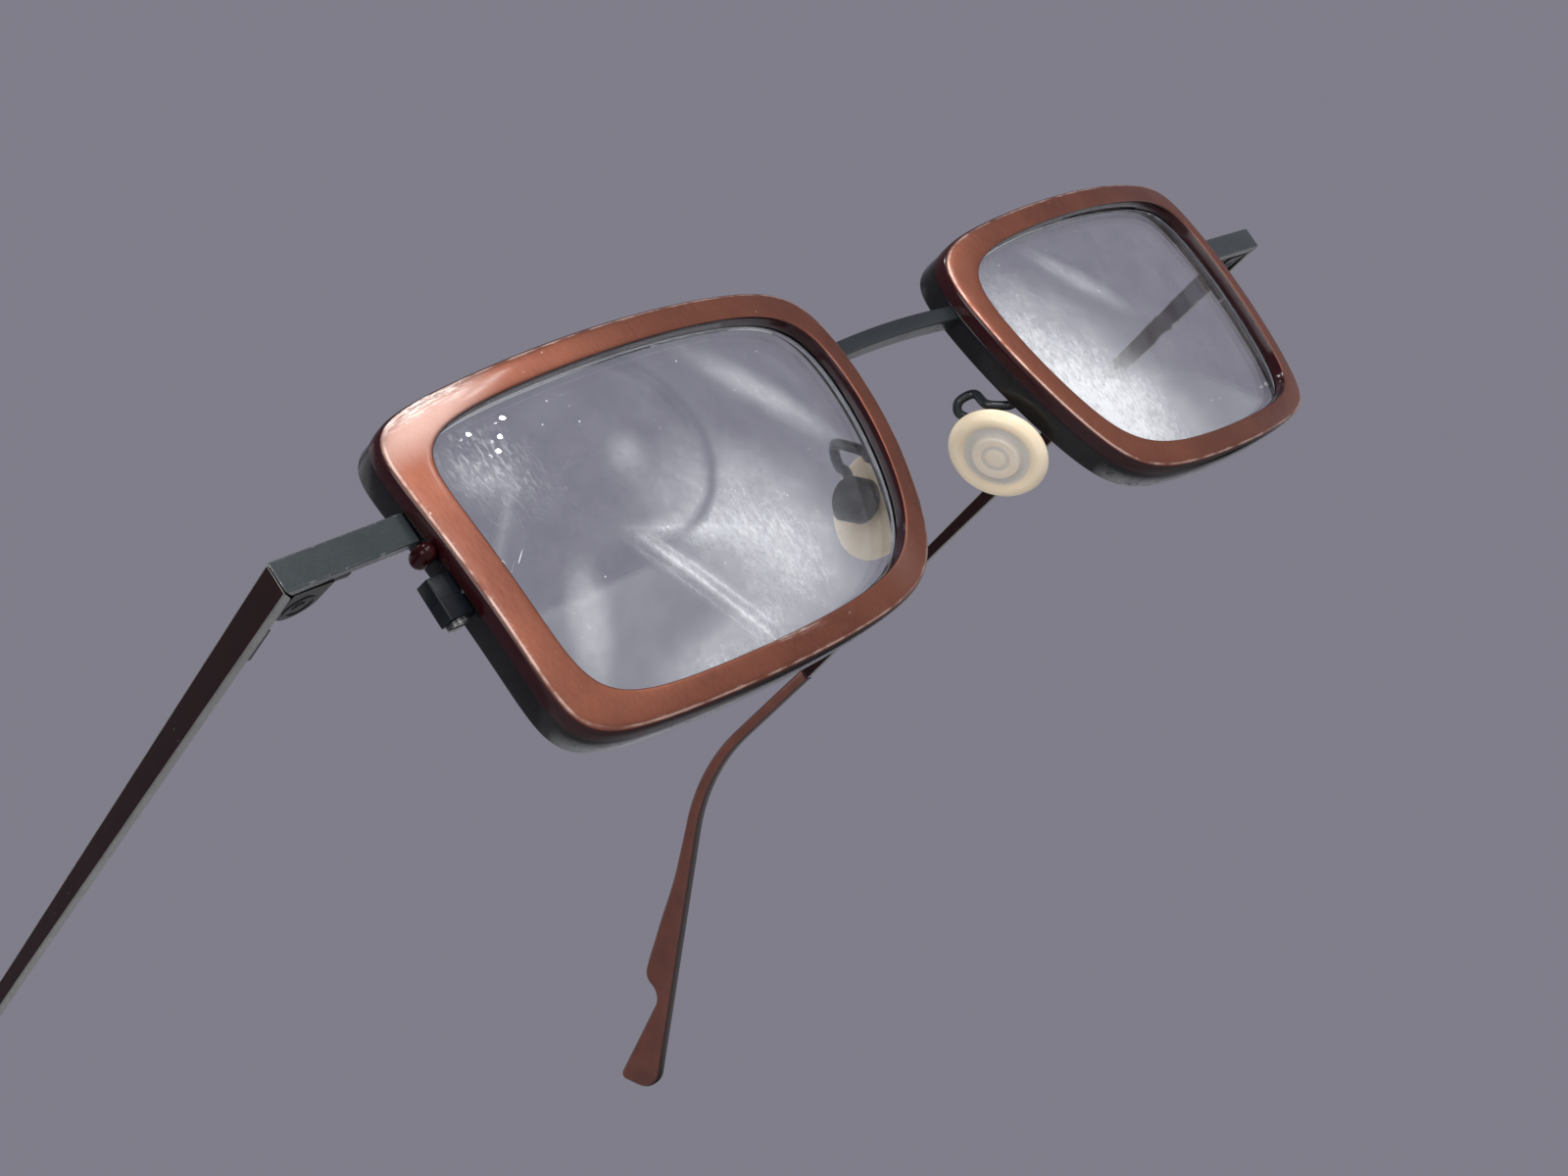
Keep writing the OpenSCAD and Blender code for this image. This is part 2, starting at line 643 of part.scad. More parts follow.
// Stiff disc in the pad, with the stem that rocks in the box
module pad_core() {
    color([0.9, 0.85, 0.75]) at_pad() difference() {
        union() {
            translate([0, 0, core_back]) cylinder(r = pad_core_r, h = core_disc);
            translate([-stem_half, -stem_half, screw_level - 0.5])
                cube([2 * stem_half, 2 * stem_half, 0.5 - screw_level]);
        }
        translate([0, cutter / 2, screw_level]) rotate([90, 0, 0])
            cylinder(r = pad_screw_r + hinge_play, h = cutter);
    }
}

// Round soft pad with a flat middle, a crowned face and a rounded rim
module nose_pad() {
    flat_r = 2;
    front = pad_back + pad_rim + pad_crown;
    edge = 0.45;
    crown_span = pad_r - edge - flat_r;
    color([0.9, 0.8, 0.62]) at_pad() difference() {
        rotate_extrude($fn = 72) polygon(concat(
            [[0, pad_back], [pad_r - edge, pad_back]],
            [for (a = [-60:30:60]) [pad_r - edge + edge * cos(a), pad_back + pad_rim / 2 * (1 + sin(a))]],
            [for (k = [0:4]) [pad_r - edge - crown_span * k / 4, front - pad_crown * pow(1 - k / 4, 2)]],
            [[0, front]]
        ));
        translate([0, 0, core_back - glue]) cylinder(r = pad_core_r + glue, h = core_disc + 2 * glue);
        translate([-stem_half - glue, -stem_half - glue, pad_back - 1])
            cube([2 * (stem_half + glue), 2 * (stem_half + glue), 1 - pad_back]);
    }
}

bridge();
left() front_ring();  // left_front_ring
right() front_ring();  // right_front_ring
left() ring_lug();  // left_ring_lug
right() ring_lug();  // right_ring_lug
left() rim();  // left_rim
right() rim();  // right_rim
left() lens();  // left_lens
right() lens();  // right_lens
left() pad_arm();  // left_pad_arm
right() pad_arm();  // right_pad_arm
left() pad_box();  // left_pad_box
right() pad_box();  // right_pad_box
left() pad_screw();  // left_pad_screw
right() pad_screw();  // right_pad_screw
left() pad_core();  // left_pad_core
right() pad_core();  // right_pad_core
left() nose_pad();  // left_nose_pad
right() nose_pad();  // right_nose_pad
left() block_upper();  // left_block_upper
right() block_upper();  // right_block_upper
left() block_lower();  // left_block_lower
right() block_lower();  // right_block_lower
left() rim_screw();  // left_rim_screw
right() rim_screw();  // right_rim_screw
left() end_piece();  // left_end_piece
right() end_piece();  // right_end_piece
left() hinge_front();  // left_hinge_front
right() hinge_front();  // right_hinge_front
left() hinge_temple();  // left_hinge_temple
right() hinge_temple();  // right_hinge_temple
left() hinge_screw();  // left_hinge_screw
right() hinge_screw();  // right_hinge_screw
left() temple();  // left_temple
right() temple();  // right_temple
left() temple_tip();  // left_temple_tip
right() temple_tip();  // right_temple_tip
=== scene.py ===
import math

import bmesh
import bpy
import numpy as np
from mathutils import Matrix, Vector


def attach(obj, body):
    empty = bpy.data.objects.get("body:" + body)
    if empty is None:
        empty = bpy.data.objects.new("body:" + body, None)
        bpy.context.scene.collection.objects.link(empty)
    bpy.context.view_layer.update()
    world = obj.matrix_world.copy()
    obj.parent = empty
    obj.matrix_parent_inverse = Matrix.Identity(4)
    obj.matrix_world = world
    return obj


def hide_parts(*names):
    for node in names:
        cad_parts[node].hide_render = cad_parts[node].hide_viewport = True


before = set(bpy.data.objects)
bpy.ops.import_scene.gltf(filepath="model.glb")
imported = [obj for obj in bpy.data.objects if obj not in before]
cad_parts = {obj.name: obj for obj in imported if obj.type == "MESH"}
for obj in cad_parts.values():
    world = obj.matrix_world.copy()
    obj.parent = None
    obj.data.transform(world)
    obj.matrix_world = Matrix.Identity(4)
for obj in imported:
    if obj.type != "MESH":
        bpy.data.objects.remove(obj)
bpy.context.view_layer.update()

# Sizes, in millimetres, as worn: X across, Y back from the front, Z up
EYE_X = 33.6
TOP_REACH, BOTTOM_REACH, NOSE_REACH, TEMPLE_REACH = 14.4, 14.4, 21.5, 21.5
NOSE_SLANT, TEMPLE_SLANT = 35.9, 3.3
TOP_BOW, BOTTOM_BOW, NOSE_BOW, STRAIGHT = 290, 123, 37, 2000
CORNER_CUT, CORNER_POWER = 31, 10.5
FACE_BOW, FACE_WRAP = 85, 3.5
RING_FACE, RING_FACE_SIDE, RING_THICK, RING_DOME = 2.3, 2.75, 1.35, 0.35
RIM_DEPTH, RIM_WALL, GROOVE, GLUE, RIM_SLIT = 2.2, 1.9, 0.45, 0.05, 0.3
LENS_THICK, LENS_PLAY = 1.5, 0.15
BRIDGE_HEIGHT, BRIDGE_DEPTH, BRIDGE_Z, BRIDGE_RISE = 1.4, 1.8, 8.2, 0.35
CORNER_X, BAR_HEIGHT, BAR_THICK, BAR_Y, BAR_Z, BAR_FALL = 67.0, 2.3, 1.0, 6.0, 5.8, 1.5
LUG_R, LUG_LENGTH = 0.75, 0.7
KNUCKLE_R, HINGE_IN, HINGE_BACK, SCREW_R, PLAY = 1.7, 2.1, 3.4, 0.55, 0.06
LEAF_GAP, LEAF_LENGTH, LEAF_THICK = 0.4, 3.5, 0.5
TEMPLE_LENGTH, TAPER_LENGTH, TEMPLE_HEIGHT, MITRE_GAP = 82, 55, 1.35, 0.1
TEMPLE_FALL, TEMPLE_SPLAY = 5.25, 2.2
TIP_STRAIGHT, TIP_DROP, TIP_ANGLE, TIP_BEND, TIP_THICK, TIP_HEIGHT = 21.4, 47.5, 40.7, 26, 1.7, 1.5
TIP_NECK, TIP_STEP, TIP_STEP_HEIGHT, TIP_NOTCH, NOTCH_R, NOTCH_HEIGHT = 1.8, 30.2, 4.46, 34.2, 2.4, 2.15
TIP_ROUND, TIP_END_HEIGHT, TIP_CORNER_R, TIP_LEAN, HOOK_R, TIP_EDGE = 2.9, 5.8, 0.85, 6, 2.0, 0.5
PAD_IN, PAD_Y, PAD_DROP, PAD_R, PAD_RIM, PAD_CROWN = 1.83, 8.65, 4.3, 4.5, 1.0, 0.45
PAD_TIP, PAD_TURN, PAD_CORE_R, BOX_R, BOX_DEPTH, PAD_SCREW_R, WIRE_R = 25, 3.2, 2.4, 1.8, 1.9, 0.35, 0.42
CORE_BACK, CORE_DISC, STEM_HALF = -0.35, 0.5, 0.75
BLOCK_OUT, BLOCK_DEPTH, BLOCK_HALF, BLOCK_Z, RIM_SCREW_R = 2.05, 1.4, 1.45, 0.6, 0.45

RIM_FRONT = RING_THICK + GLUE
RIM_BACK = RIM_FRONT + RIM_DEPTH
LENS_FRONT = RIM_FRONT + 0.1
LENS_BACK = LENS_FRONT + LENS_THICK
GROOVE_DEPTH = (LENS_FRONT + LENS_BACK) / 2
RIM_INSET = 0.1


def sin(a):
    return math.sin(math.radians(a))


def cos(a):
    return math.cos(math.radians(a))


def fall(length):
    return -length * math.tan(math.radians(TEMPLE_FALL))


# How the pair stands, as in the solids
def drop_point(along, height):
    return np.array([
        TIP_STRAIGHT + along * cos(TIP_ANGLE) + height * sin(TIP_ANGLE),
        fall(TIP_STRAIGHT) - TIP_HEIGHT / 2 - along * sin(TIP_ANGLE) + height * cos(TIP_ANGLE),
    ])


def tip_worn(point):
    back = BAR_Y + TEMPLE_LENGTH * cos(TEMPLE_SPLAY) + point[0] * cos(TEMPLE_SPLAY + TIP_LEAN)
    return np.array([back, BAR_Z + fall(TEMPLE_LENGTH) + point[1]])


foot = np.array([BOTTOM_REACH ** 2 / (2 * FACE_BOW) + 0.4, -BOTTOM_REACH])
tip_foot = tip_worn(drop_point(TIP_DROP - TIP_ROUND, TIP_ROUND))
LEAN = math.degrees(
    math.atan2(foot[1] - tip_foot[1], tip_foot[0] - foot[0])
    + math.asin(TIP_ROUND / np.linalg.norm(tip_foot - foot))
)
LIFT = BOTTOM_REACH * cos(LEAN) - foot[0] * sin(LEAN)
front_y = TOP_REACH ** 2 / (2 * FACE_BOW) - 0.2 - TOP_REACH * sin(LEAN)
tip_back = tip_worn(drop_point(TIP_DROP - 0.16 * TIP_CORNER_R, TIP_END_HEIGHT - 0.46 * TIP_CORNER_R))
MID_Y = (tip_back[0] * cos(LEAN) - tip_back[1] * sin(LEAN) + front_y) / 2
STAND = (
    Matrix.Diagonal((0.001, 0.001, 0.001, 1))
    @ Matrix.Translation((0, -MID_Y, LIFT))
    @ Matrix.Rotation(math.radians(LEAN), 4, "X")
)
SIDES = {"left": 1, "right": -1}


def turn(angle, axis):
    return Matrix.Rotation(math.radians(angle), 4, axis)


AT_EYE = Matrix.Translation((EYE_X, 0, 0)) @ turn(FACE_WRAP, "Z")
AT_CORNER = Matrix.Translation((CORNER_X, BAR_Y, BAR_Z)) @ turn(TEMPLE_SPLAY, "Z")
AT_TIP = AT_CORNER @ Matrix.Translation((0, TEMPLE_LENGTH, fall(TEMPLE_LENGTH))) @ turn(TIP_LEAN, "Z")
HINGE_X = CORNER_X - BAR_THICK - HINGE_IN
BAR_LOW, BAR_TOP = BAR_Z - BAR_HEIGHT / 2, BAR_Z + BAR_HEIGHT / 2
KNUCKLE = (BAR_HEIGHT - 2 * PLAY) / 3
AT_HINGE = Matrix.Translation((HINGE_X, BAR_Y + HINGE_BACK, BAR_LOW))

# The outline of rings, rims and lenses: each side's direction, reach, bow and width of the ring's face
OUTLINE = [
    (90, TOP_REACH, TOP_BOW, RING_FACE),
    (-90, BOTTOM_REACH, BOTTOM_BOW, RING_FACE),
    (180 + NOSE_SLANT, NOSE_REACH, NOSE_BOW, RING_FACE),
    (-TEMPLE_SLANT, TEMPLE_REACH, STRAIGHT, RING_FACE_SIDE),
    ((270 + NOSE_SLANT) / 2 - 2, CORNER_CUT, STRAIGHT, RING_FACE),
]


def outline_point(angle, insets, middle_inset):
    """A point of the outline, where the sides' distances from the eye blend at the corners."""
    total, power = 0, CORNER_POWER - 1.2 * middle_inset
    for (side, reach, bow, _), inset in zip(OUTLINE, insets):
        away = angle - side
        if cos(away) <= 0.05:
            continue
        off = reach - bow
        total += (off * cos(away) + math.sqrt((bow - inset) ** 2 - (off * sin(away)) ** 2)) ** -power
    return total ** (-1 / power) * np.array([cos(angle), sin(angle)])


def even_point(angle, inset):
    return outline_point(angle, [inset] * len(OUTLINE), inset)


def face_point(angle, share):
    return outline_point(angle, [side[3] * share for side in OUTLINE], RING_FACE * share)


def on_front(flat, depth):
    return (flat[0], (flat @ flat) / (2 * FACE_BOW) + depth, flat[1])


def worn(flat, depth):
    across, deep, up = on_front(flat, depth)
    return np.array([
        EYE_X + across * cos(FACE_WRAP) - deep * sin(FACE_WRAP),
        across * sin(FACE_WRAP) + deep * cos(FACE_WRAP),
        up,
    ])


def rim_angle(z, away):
    if away > 0:
        return math.degrees(math.atan2(z, TEMPLE_REACH))
    return 180 - math.degrees(math.atan2(z, NOSE_REACH + 2))


def rim_side(z, away, depth):
    return worn(even_point(rim_angle(z, away), RIM_INSET), depth)


def wall_out(low, high, depth):
    return max(rim_side(low, 1, depth)[0], rim_side(high, 1, depth)[0])


AT_PAD = (
    Matrix.Translation((rim_side(-PAD_DROP, -1, 0)[0] - PAD_IN, PAD_Y, -PAD_DROP))
    @ turn(180 - PAD_TURN, "Z") @ turn(90 + PAD_TIP, "Y")
)
PAD_BACK = -PAD_RIM * 0.6
BOX_MOUTH = PAD_BACK - 0.7
SCREW_LEVEL = BOX_MOUTH - 0.8
SLIT_ANGLE = math.degrees(math.atan2(BLOCK_Z, TEMPLE_REACH))
SLIT_HALF = math.degrees(math.atan2(RIM_SLIT / 2, TEMPLE_REACH))
BLOCK_TOP = BLOCK_Z + RIM_SLIT / 2 + BLOCK_HALF
BLOCK_LOW = BLOCK_Z - RIM_SLIT / 2 - BLOCK_HALF
BLOCK_X = wall_out(BLOCK_LOW, BLOCK_TOP, RIM_FRONT + 0.1) + GLUE
BLOCK_Y = rim_side(BLOCK_Z, 1, RIM_FRONT + 0.1)[1]


# Lines and faces
def smooth_line(points, parts):
    """A smooth curve through the points, with some parts between each two."""
    points = [np.array(p, float) for p in points]
    last = len(points) - 1
    out = []
    for i in range(last):
        a, b, c, d = (points[min(max(i + k, 0), last)] for k in (-1, 0, 1, 2))
        for k in range(parts):
            t = k / parts
            square, cube = 2 * a - 5 * b + 4 * c - d, 3 * b - a - 3 * c + d
            out.append(0.5 * (2 * b + (c - a) * t + square * t ** 2 + cube * t ** 3))
    return out + [points[-1]]


def arc(radius, start, end, parts, middle=(0, 0)):
    """Points on an arc given in degrees; a full turn leaves out its last point."""
    angles = np.linspace(start, end, parts + 1)
    if end - start == 360:
        angles = angles[:-1]
    return [(middle[0] + radius * cos(a), middle[1] + radius * sin(a)) for a in angles]


def rounded(points, radii, parts):
    """A closed outline with each corner rounded by its own radius."""
    points = [np.array(p, float) for p in points]
    out = []
    for i, (here, radius) in enumerate(zip(points, radii)):
        to_last, to_next = points[i - 1] - here, points[(i + 1) % len(points)] - here
        room = 0.48 * min(np.linalg.norm(to_last), np.linalg.norm(to_next))
        to_last, to_next = to_last / np.linalg.norm(to_last), to_next / np.linalg.norm(to_next)
        half = math.acos(np.clip(to_last @ to_next, -1, 1)) / 2
        back = min(radius / math.tan(half), room)
        start, end = here + to_last * back, here + to_next * back
        for k in range(parts + 1):
            t = k / parts
            out.append((1 - t) ** 2 * start + 2 * t * (1 - t) * here + t ** 2 * end)
    return out


def grid_faces(count, size, closed=False):
    """Faces between rows of points that each run once round; the rows join up, or both ends are shut."""
    faces = []
    for k in range(count if closed else count - 1):
        row, later = k * size, (k + 1) % count * size
        for j in range(size):
            after = (j + 1) % size
            faces.append((row + j, row + after, later + after, later + j))
    if not closed:
        faces.append(tuple(range(size - 1, -1, -1)))
        faces.append(tuple(range((count - 1) * size, count * size)))
    return faces


class Shape:
    """Points and faces in millimetres, as worn on the left side."""

    def __init__(self):
        self.points, self.faces, self.values = [], [], []

    def add(self, points, faces, values=None, place=None):
        start = len(self.points)
        points = [Vector(p) for p in points]
        if place is not None:
            points = [place @ p for p in points]
        self.points += points
        self.faces += [tuple(start + i for i in face) for face in faces]
        self.values += list(values) if values is not None else [0.0] * len(points)
        return self

    def prism(self, outline, low, high, place=None):
        """An outline in X and Y, raised from low to high."""
        size = len(outline)
        points = [(p[0], p[1], z) for z in (low, high) for p in outline]
        faces = [tuple(range(size - 1, -1, -1)), tuple(range(size, 2 * size))]
        faces += [(i, (i + 1) % size, size + (i + 1) % size, size + i) for i in range(size)]
        return self.add(points, faces, place=place)

    def box(self, low, high, place=None):
        outline = [(low[0], low[1]), (high[0], low[1]), (high[0], high[1]), (low[0], high[1])]
        return self.prism(outline, low[2], high[2], place)

    def plate(self, outline, start, thick, place):
        """An outline in the YZ plane, from its outer face inwards."""
        upright = Matrix(((0, 0, -1, 0), (1, 0, 0, 0), (0, 1, 0, 0), (0, 0, 0, 1)))
        return self.prism(outline, 0, thick, place @ Matrix.Translation((-start, 0, 0)) @ upright)

    def lathe(self, profile, around, place=None, hole=False):
        """A profile of radius, height and perhaps a value, turned about Z; with a hole, its ends join."""
        size = len(profile)
        points, faces = [], []
        for k in range(around):
            a = 360 * k / around
            points += [(p[0] * cos(a), p[0] * sin(a), p[1]) for p in profile]
            row, later = k * size, (k + 1) % around * size
            for j in range(size if hole else size - 1):
                after = (j + 1) % size
                faces.append((row + j, later + j, later + after, row + after))
        values = [p[2] if len(p) > 2 else 0.0 for p in profile] * around
        return self.add(points, faces, values, place)


def new_object(name, data):
    obj = bpy.data.objects.new(name, data)
    bpy.context.scene.collection.objects.link(obj)
    return obj


def piece(name, shape, side, material, slot, body, node, bevel=0.0, sharp=35, edge_wear_and_sheen=None):
    """One piece on its body. With an edge material, its bevelled edges show it as wear with painted
    highlights, and its underside shows it as a painted reflection.
    """
    mirror = Matrix.Diagonal((side, 1, 1, 1))
    mesh = bpy.data.meshes.new(name)
    mesh.from_pydata([STAND @ mirror @ p for p in shape.points], [], shape.faces)
    if any(shape.values):
        layer = mesh.attributes.new("depth", "FLOAT", "POINT")
        layer.data.foreach_set("value", shape.values)
    work = bmesh.new()
    work.from_mesh(mesh)
    bmesh.ops.remove_doubles(work, verts=work.verts, dist=1e-7)
    bmesh.ops.recalc_face_normals(work, faces=work.faces)
    work.to_mesh(mesh)
    work.free()
    mesh.materials.append(material)
    mesh.shade_smooth()
    obj = new_object(name, mesh)
    if bevel:
        edges = obj.modifiers.new("edges", "BEVEL")
        edges.width = bevel / 1000
        edges.segments = 3
        edges.limit_method = "ANGLE"
        edges.angle_limit = math.radians(30)
        edges.use_clamp_overlap = True
        obj.modifiers.new("normals", "WEIGHTED_NORMAL").keep_sharp = True
    else:
        mesh.set_sharp_from_angle(angle=math.radians(sharp))
    if edge_wear_and_sheen:
        mesh.materials.append(edge_wear_and_sheen)
        edges.material = 1
        # Faces that look down take the edge material as a painted reflection of the pale surface below
        for polygon in mesh.polygons:
            polygon.material_index = int(polygon.normal.z < -0.7)
    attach(obj, body)
    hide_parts(node)


# Materials
class Nodes:
    """The nodes of a material, a lamp or the room, with short ways to add to them."""

    def __init__(self, owner):
        owner.use_nodes = True
        self.owner = owner
        self.nodes, self.links = owner.node_tree.nodes, owner.node_tree.links
        self.shader = self.nodes.get("Principled BSDF")

    def feed(self, socket, value):
        """Link an output to the socket, or give the socket a plain value."""
        if isinstance(value, bpy.types.NodeSocket):
            self.links.new(value, socket)
        else:
            socket.default_value = value

    def add(self, kind, **values):
        """A new node; each value goes to the input of that name, or else to the node's own setting."""
        node = self.nodes.new("ShaderNode" + kind)
        for key, value in values.items():
            if key in node.inputs:
                self.feed(node.inputs[key], value)
            else:
                setattr(node, key, value)
        return node

    def maths(self, operation, *values):
        node = self.add("Math", operation=operation)
        for socket, value in zip(node.inputs, values):
            self.feed(socket, value)
        return node.outputs["Value"]

    def chain(self, operation, first, *others):
        for other in others:
            first = self.maths(operation, first, other)
        return first

    def times(self, *values):
        return self.chain("MULTIPLY", *values)

    def plus(self, *values):
        return self.chain("ADD", *values)

    def most(self, *values):
        return self.chain("MAXIMUM", *values)

    def span(self, value, low, high, out_low=0.0, out_high=1.0):
        """A value between low and high, turned into one between out_low and out_high and held at both."""
        limits = {"From Min": low, "From Max": high, "To Min": out_low, "To Max": out_high}
        return self.add("MapRange", Value=value, **limits).outputs["Result"]

    def mix(self, share, a, b):
        """Colour a turning into colour b as share goes from 0 to 1."""
        node = self.add("Mix", data_type="RGBA", Factor=share)
        for socket, value in zip([s for s in node.inputs if s.type == "RGBA"], (a, b)):
            self.feed(socket, (*value, 1) if isinstance(value, tuple) else value)
        return [s for s in node.outputs if s.type == "RGBA"][0]

    def shade(self, inputs):
        """Set or link inputs of the surface's shader, and give back the material."""
        for name, value in inputs.items():
            self.feed(self.shader.inputs[name], value)
        return self.owner

    def blend(self, share, first, second, output):
        """Mix two shaders on their way to the output."""
        mixer = self.add("MixShader", Fac=share)
        self.links.new(first, mixer.inputs[1])
        self.links.new(second, mixer.inputs[2])
        self.links.new(mixer.outputs["Shader"], self.nodes[output].inputs["Surface"])


class Surface(Nodes):
    """A material whose patterns are laid out in millimetres, as the pair stands."""

    def __init__(self, name):
        super().__init__(bpy.data.materials.new(name))
        self.at = self.place((1, 1, 1))

    def place(self, stretch):
        """Object coordinates, with one unit a millimetre, times the stretch of each axis."""
        metres = self.add("TexCoord").outputs["Object"]
        return self.add("Mapping", Vector=metres, Scale=[1000 * s for s in stretch]).outputs["Vector"]

    def depth(self):
        """The value that the points of the piece carry."""
        return self.add("Attribute", attribute_name="depth").outputs["Fac"]

    def noise(self, scale, detail=4, rough=0.55, stretch=None):
        at = self.place(stretch) if stretch else self.at
        return self.add("TexNoise", Vector=at, Scale=scale, Detail=detail, Roughness=rough).outputs["Fac"]

    def hairlines(self, scale, width, stretch):
        """Fine scratches: the cell walls of a stretched pattern."""
        cells = self.add("TexVoronoi", feature="DISTANCE_TO_EDGE", Vector=self.place(stretch), Scale=scale)
        return self.span(cells.outputs["Distance"], 0, width, 1, 0)

    def specks(self, scale, size, share):
        """Grains of dust: small dots in some of the cells."""
        cells = self.add("TexVoronoi", Vector=self.at, Scale=scale)
        dot = self.span(cells.outputs["Distance"], 0.5 * size, size, 1, 0)
        split = self.add("SeparateColor", Color=cells.outputs["Color"])
        return self.times(dot, self.span(split.outputs["Red"], share, share + 0.01, 1, 0))

    def clouded(self, base, dark, scale, detail, low, high):
        return self.mix(self.span(self.noise(scale, detail), low, high), base, dark)

    def dusty(self, colour, dust, strength, grains):
        return self.mix(self.times(grains, strength), colour, dust)

    def along(self, start, toward):
        """Distance in millimetres from a place, in one direction of the XZ plane."""
        node = self.add("VectorMath", operation="DOT_PRODUCT", Vector=self.at)
        node.inputs[1].default_value = (toward[0], 0, toward[1])
        return self.maths("SUBTRACT", node.outputs["Value"], start[0] * toward[0] + start[1] * toward[1])

    def streak(self, start, end, widths, strength):
        """A soft streak from start to end, with its half width at each end."""
        run = np.subtract(end, start)
        length = float(np.linalg.norm(run))
        toward = run / length
        far = self.along(start, toward)
        off = self.maths("ABSOLUTE", self.along(start, (-toward[1], toward[0])))
        beam = self.span(self.maths("DIVIDE", off, self.span(far, 0, length, *widths)), 0, 1, 1, 0)
        fade_in = self.span(far, -0.05 * length, 0.15 * length)
        fade_out = self.span(far, 0.6 * length, length, 1, 0)
        return self.times(self.times(beam, beam), self.times(fade_in, fade_out), strength)

    def patch(self, centre, toward, radii, strength):
        """A soft oval patch whose first radius lies along toward."""
        toward = np.array(toward) / np.linalg.norm(toward)
        one = self.maths("DIVIDE", self.along(centre, toward), radii[0])
        two = self.maths("DIVIDE", self.along(centre, (-toward[1], toward[0])), radii[1])
        soft = self.span(self.plus(self.times(one, one), self.times(two, two)), 0, 1, 1, 0)
        return self.times(soft, soft, strength)

    def bump(self, height, strength, distance=0.03):
        """Relief, whose distance is in millimetres."""
        return self.add("Bump", Height=height, Strength=strength, Distance=distance / 1000).outputs["Normal"]


BARE_METAL = (0.42, 0.41, 0.40)


def painted(name, base, dark, rough, coat=0.0, shine=0.5, rubbed=0.0, bare=BARE_METAL, pale_reflection_below=None):
    """Satin paint on metal: mottling, fine scuffs and a little dust. It is rubbed bare here and there; with
    a height given, the marked edges that lie lower than it also show the bare colour, as a painted
    reflection of the pale surface below."""
    look = Surface(name)
    colour = look.clouded(base, dark, 0.35, 5, 0.35, 0.7)
    colour = look.dusty(colour, (0.4, 0.4, 0.4), 0.5, look.specks(1.1, 0.06, 0.35))
    rub = look.noise(1.1, 6, 0.7)
    if pale_reflection_below is None:
        rub = look.span(rub, 0.72 - 0.4 * rubbed, 0.80 - 0.4 * rubbed)
    else:
        # Marked edges below the given height: the bare colour there is a painted reflection, broken up by
        # noise
        low = look.span(look.along((0, 0), (0, 1)), pale_reflection_below, pale_reflection_below - 3)
        edge = look.times(low, look.span(rub, 0.36, 0.46, 0.35, 1))
        edge = look.times(look.span(look.depth(), 0.2, 0.8), edge)
        rub = look.most(edge, look.span(rub, 0.72, 0.8))
    grain = look.noise(6.0, 6, 0.65)
    scuffs = look.times(look.hairlines(0.9, 0.02, (1, 0.2, 1)), 0.15)
    return look.shade({
        "Base Color": look.mix(rub, colour, bare),
        "Metallic": look.span(rub, 0, 1, 0.1, 0.8),
        "Roughness": look.plus(look.span(grain, 0.3, 0.7, rough - 0.06, rough + 0.08), scuffs),
        "Specular IOR Level": shine,
        "Coat Weight": coat,
        "Coat Roughness": 0.12,
        "Normal": look.bump(grain, 0.12),
    })


def ring_material():
    """Pearly laminated plastic: a copper brown face over dark red walls, with a scratched outer bevel. A
    highlight line along that bevel, sheen on two stretches of the face and glints on its scuffs are painted.
    """
    look = Surface("ring_plastic")
    outer = look.depth()
    face = look.clouded((0.235, 0.081, 0.048), (0.165, 0.056, 0.036), 0.12, 3, 0.35, 0.65)
    fibre = look.noise(5.0, 5, 0.7, stretch=(1, 1, 0.15))
    face = look.mix(look.span(fibre, 0.42, 0.75, 0, 0.3), face, (0.33, 0.135, 0.088))
    face = look.dusty(face, (0.75, 0.6, 0.5), 0.6, look.specks(0.8, 0.07, 0.3))

    swirl = look.noise(0.5, 4)
    lines = look.hairlines(2.4, 0.05, (0.3, 1, 2.2))
    # Along the outer bevel: a painted highlight line broken up by the swirl, and pale hairline scratches
    bevel = look.times(look.span(outer, -0.025, -0.045), look.span(outer, -0.10, -0.065))
    worn_lines = look.times(lines, look.span(swirl, 0.48, 0.6), look.span(outer, -0.004, -0.02))
    painted_edge_highlight = look.times(bevel, look.span(swirl, 0.38, 0.55, 0.05, 0.75))
    face = look.mix(look.most(painted_edge_highlight, look.times(worn_lines, 0.6)), face, (0.74, 0.56, 0.48))

    # Two paler stretches of the face are painted sheen, and the scuffs at the outer corner and on the lower
    # edge carry painted glints
    face = look.mix(look.patch((-51.5, 27.0), (1, 0.15), (9.0, 3.4), 0.45), face, (0.66, 0.49, 0.43))
    face = look.mix(look.patch((-19.5, 8.5), (0.1, 1), (10.0, 4.0), 0.35), face, (0.42, 0.28, 0.25))
    scuffs = look.span(look.noise(2.6, 5, 0.75, stretch=(0.22, 1, 3.0)), 0.47, 0.60)
    corner = look.times(look.patch((-51.3, 28.0), (1, 0.08), (7.5, 1.35), 1.2), scuffs)
    corner = look.plus(corner, look.times(look.patch((-36.5, 2.6), (1, -0.15), (6.0, 0.7), 0.9), scuffs))
    face = look.mix(corner, face, (0.95, 0.86, 0.80))

    wall = look.most(look.span(outer, -0.09, -0.15), look.span(outer, 0.03, 0.09))
    grain = look.noise(7.0, 5, 0.6)
    return look.shade({
        "Base Color": look.mix(wall, face, (0.022, 0.003, 0.004)),
        "Metallic": look.span(look.most(wall, corner), 0, 1, 0.8, 0.0),
        "Roughness": look.maths("SUBTRACT", look.span(grain, 0.3, 0.7, 0.42, 0.50), look.times(wall, 0.32)),
        "Specular IOR Level": 0.3,
        "Coat Weight": 0.08,
        "Coat Roughness": 0.12,
        "Normal": look.bump(look.maths("SUBTRACT", look.times(grain, 0.2), worn_lines), 0.25),
    })


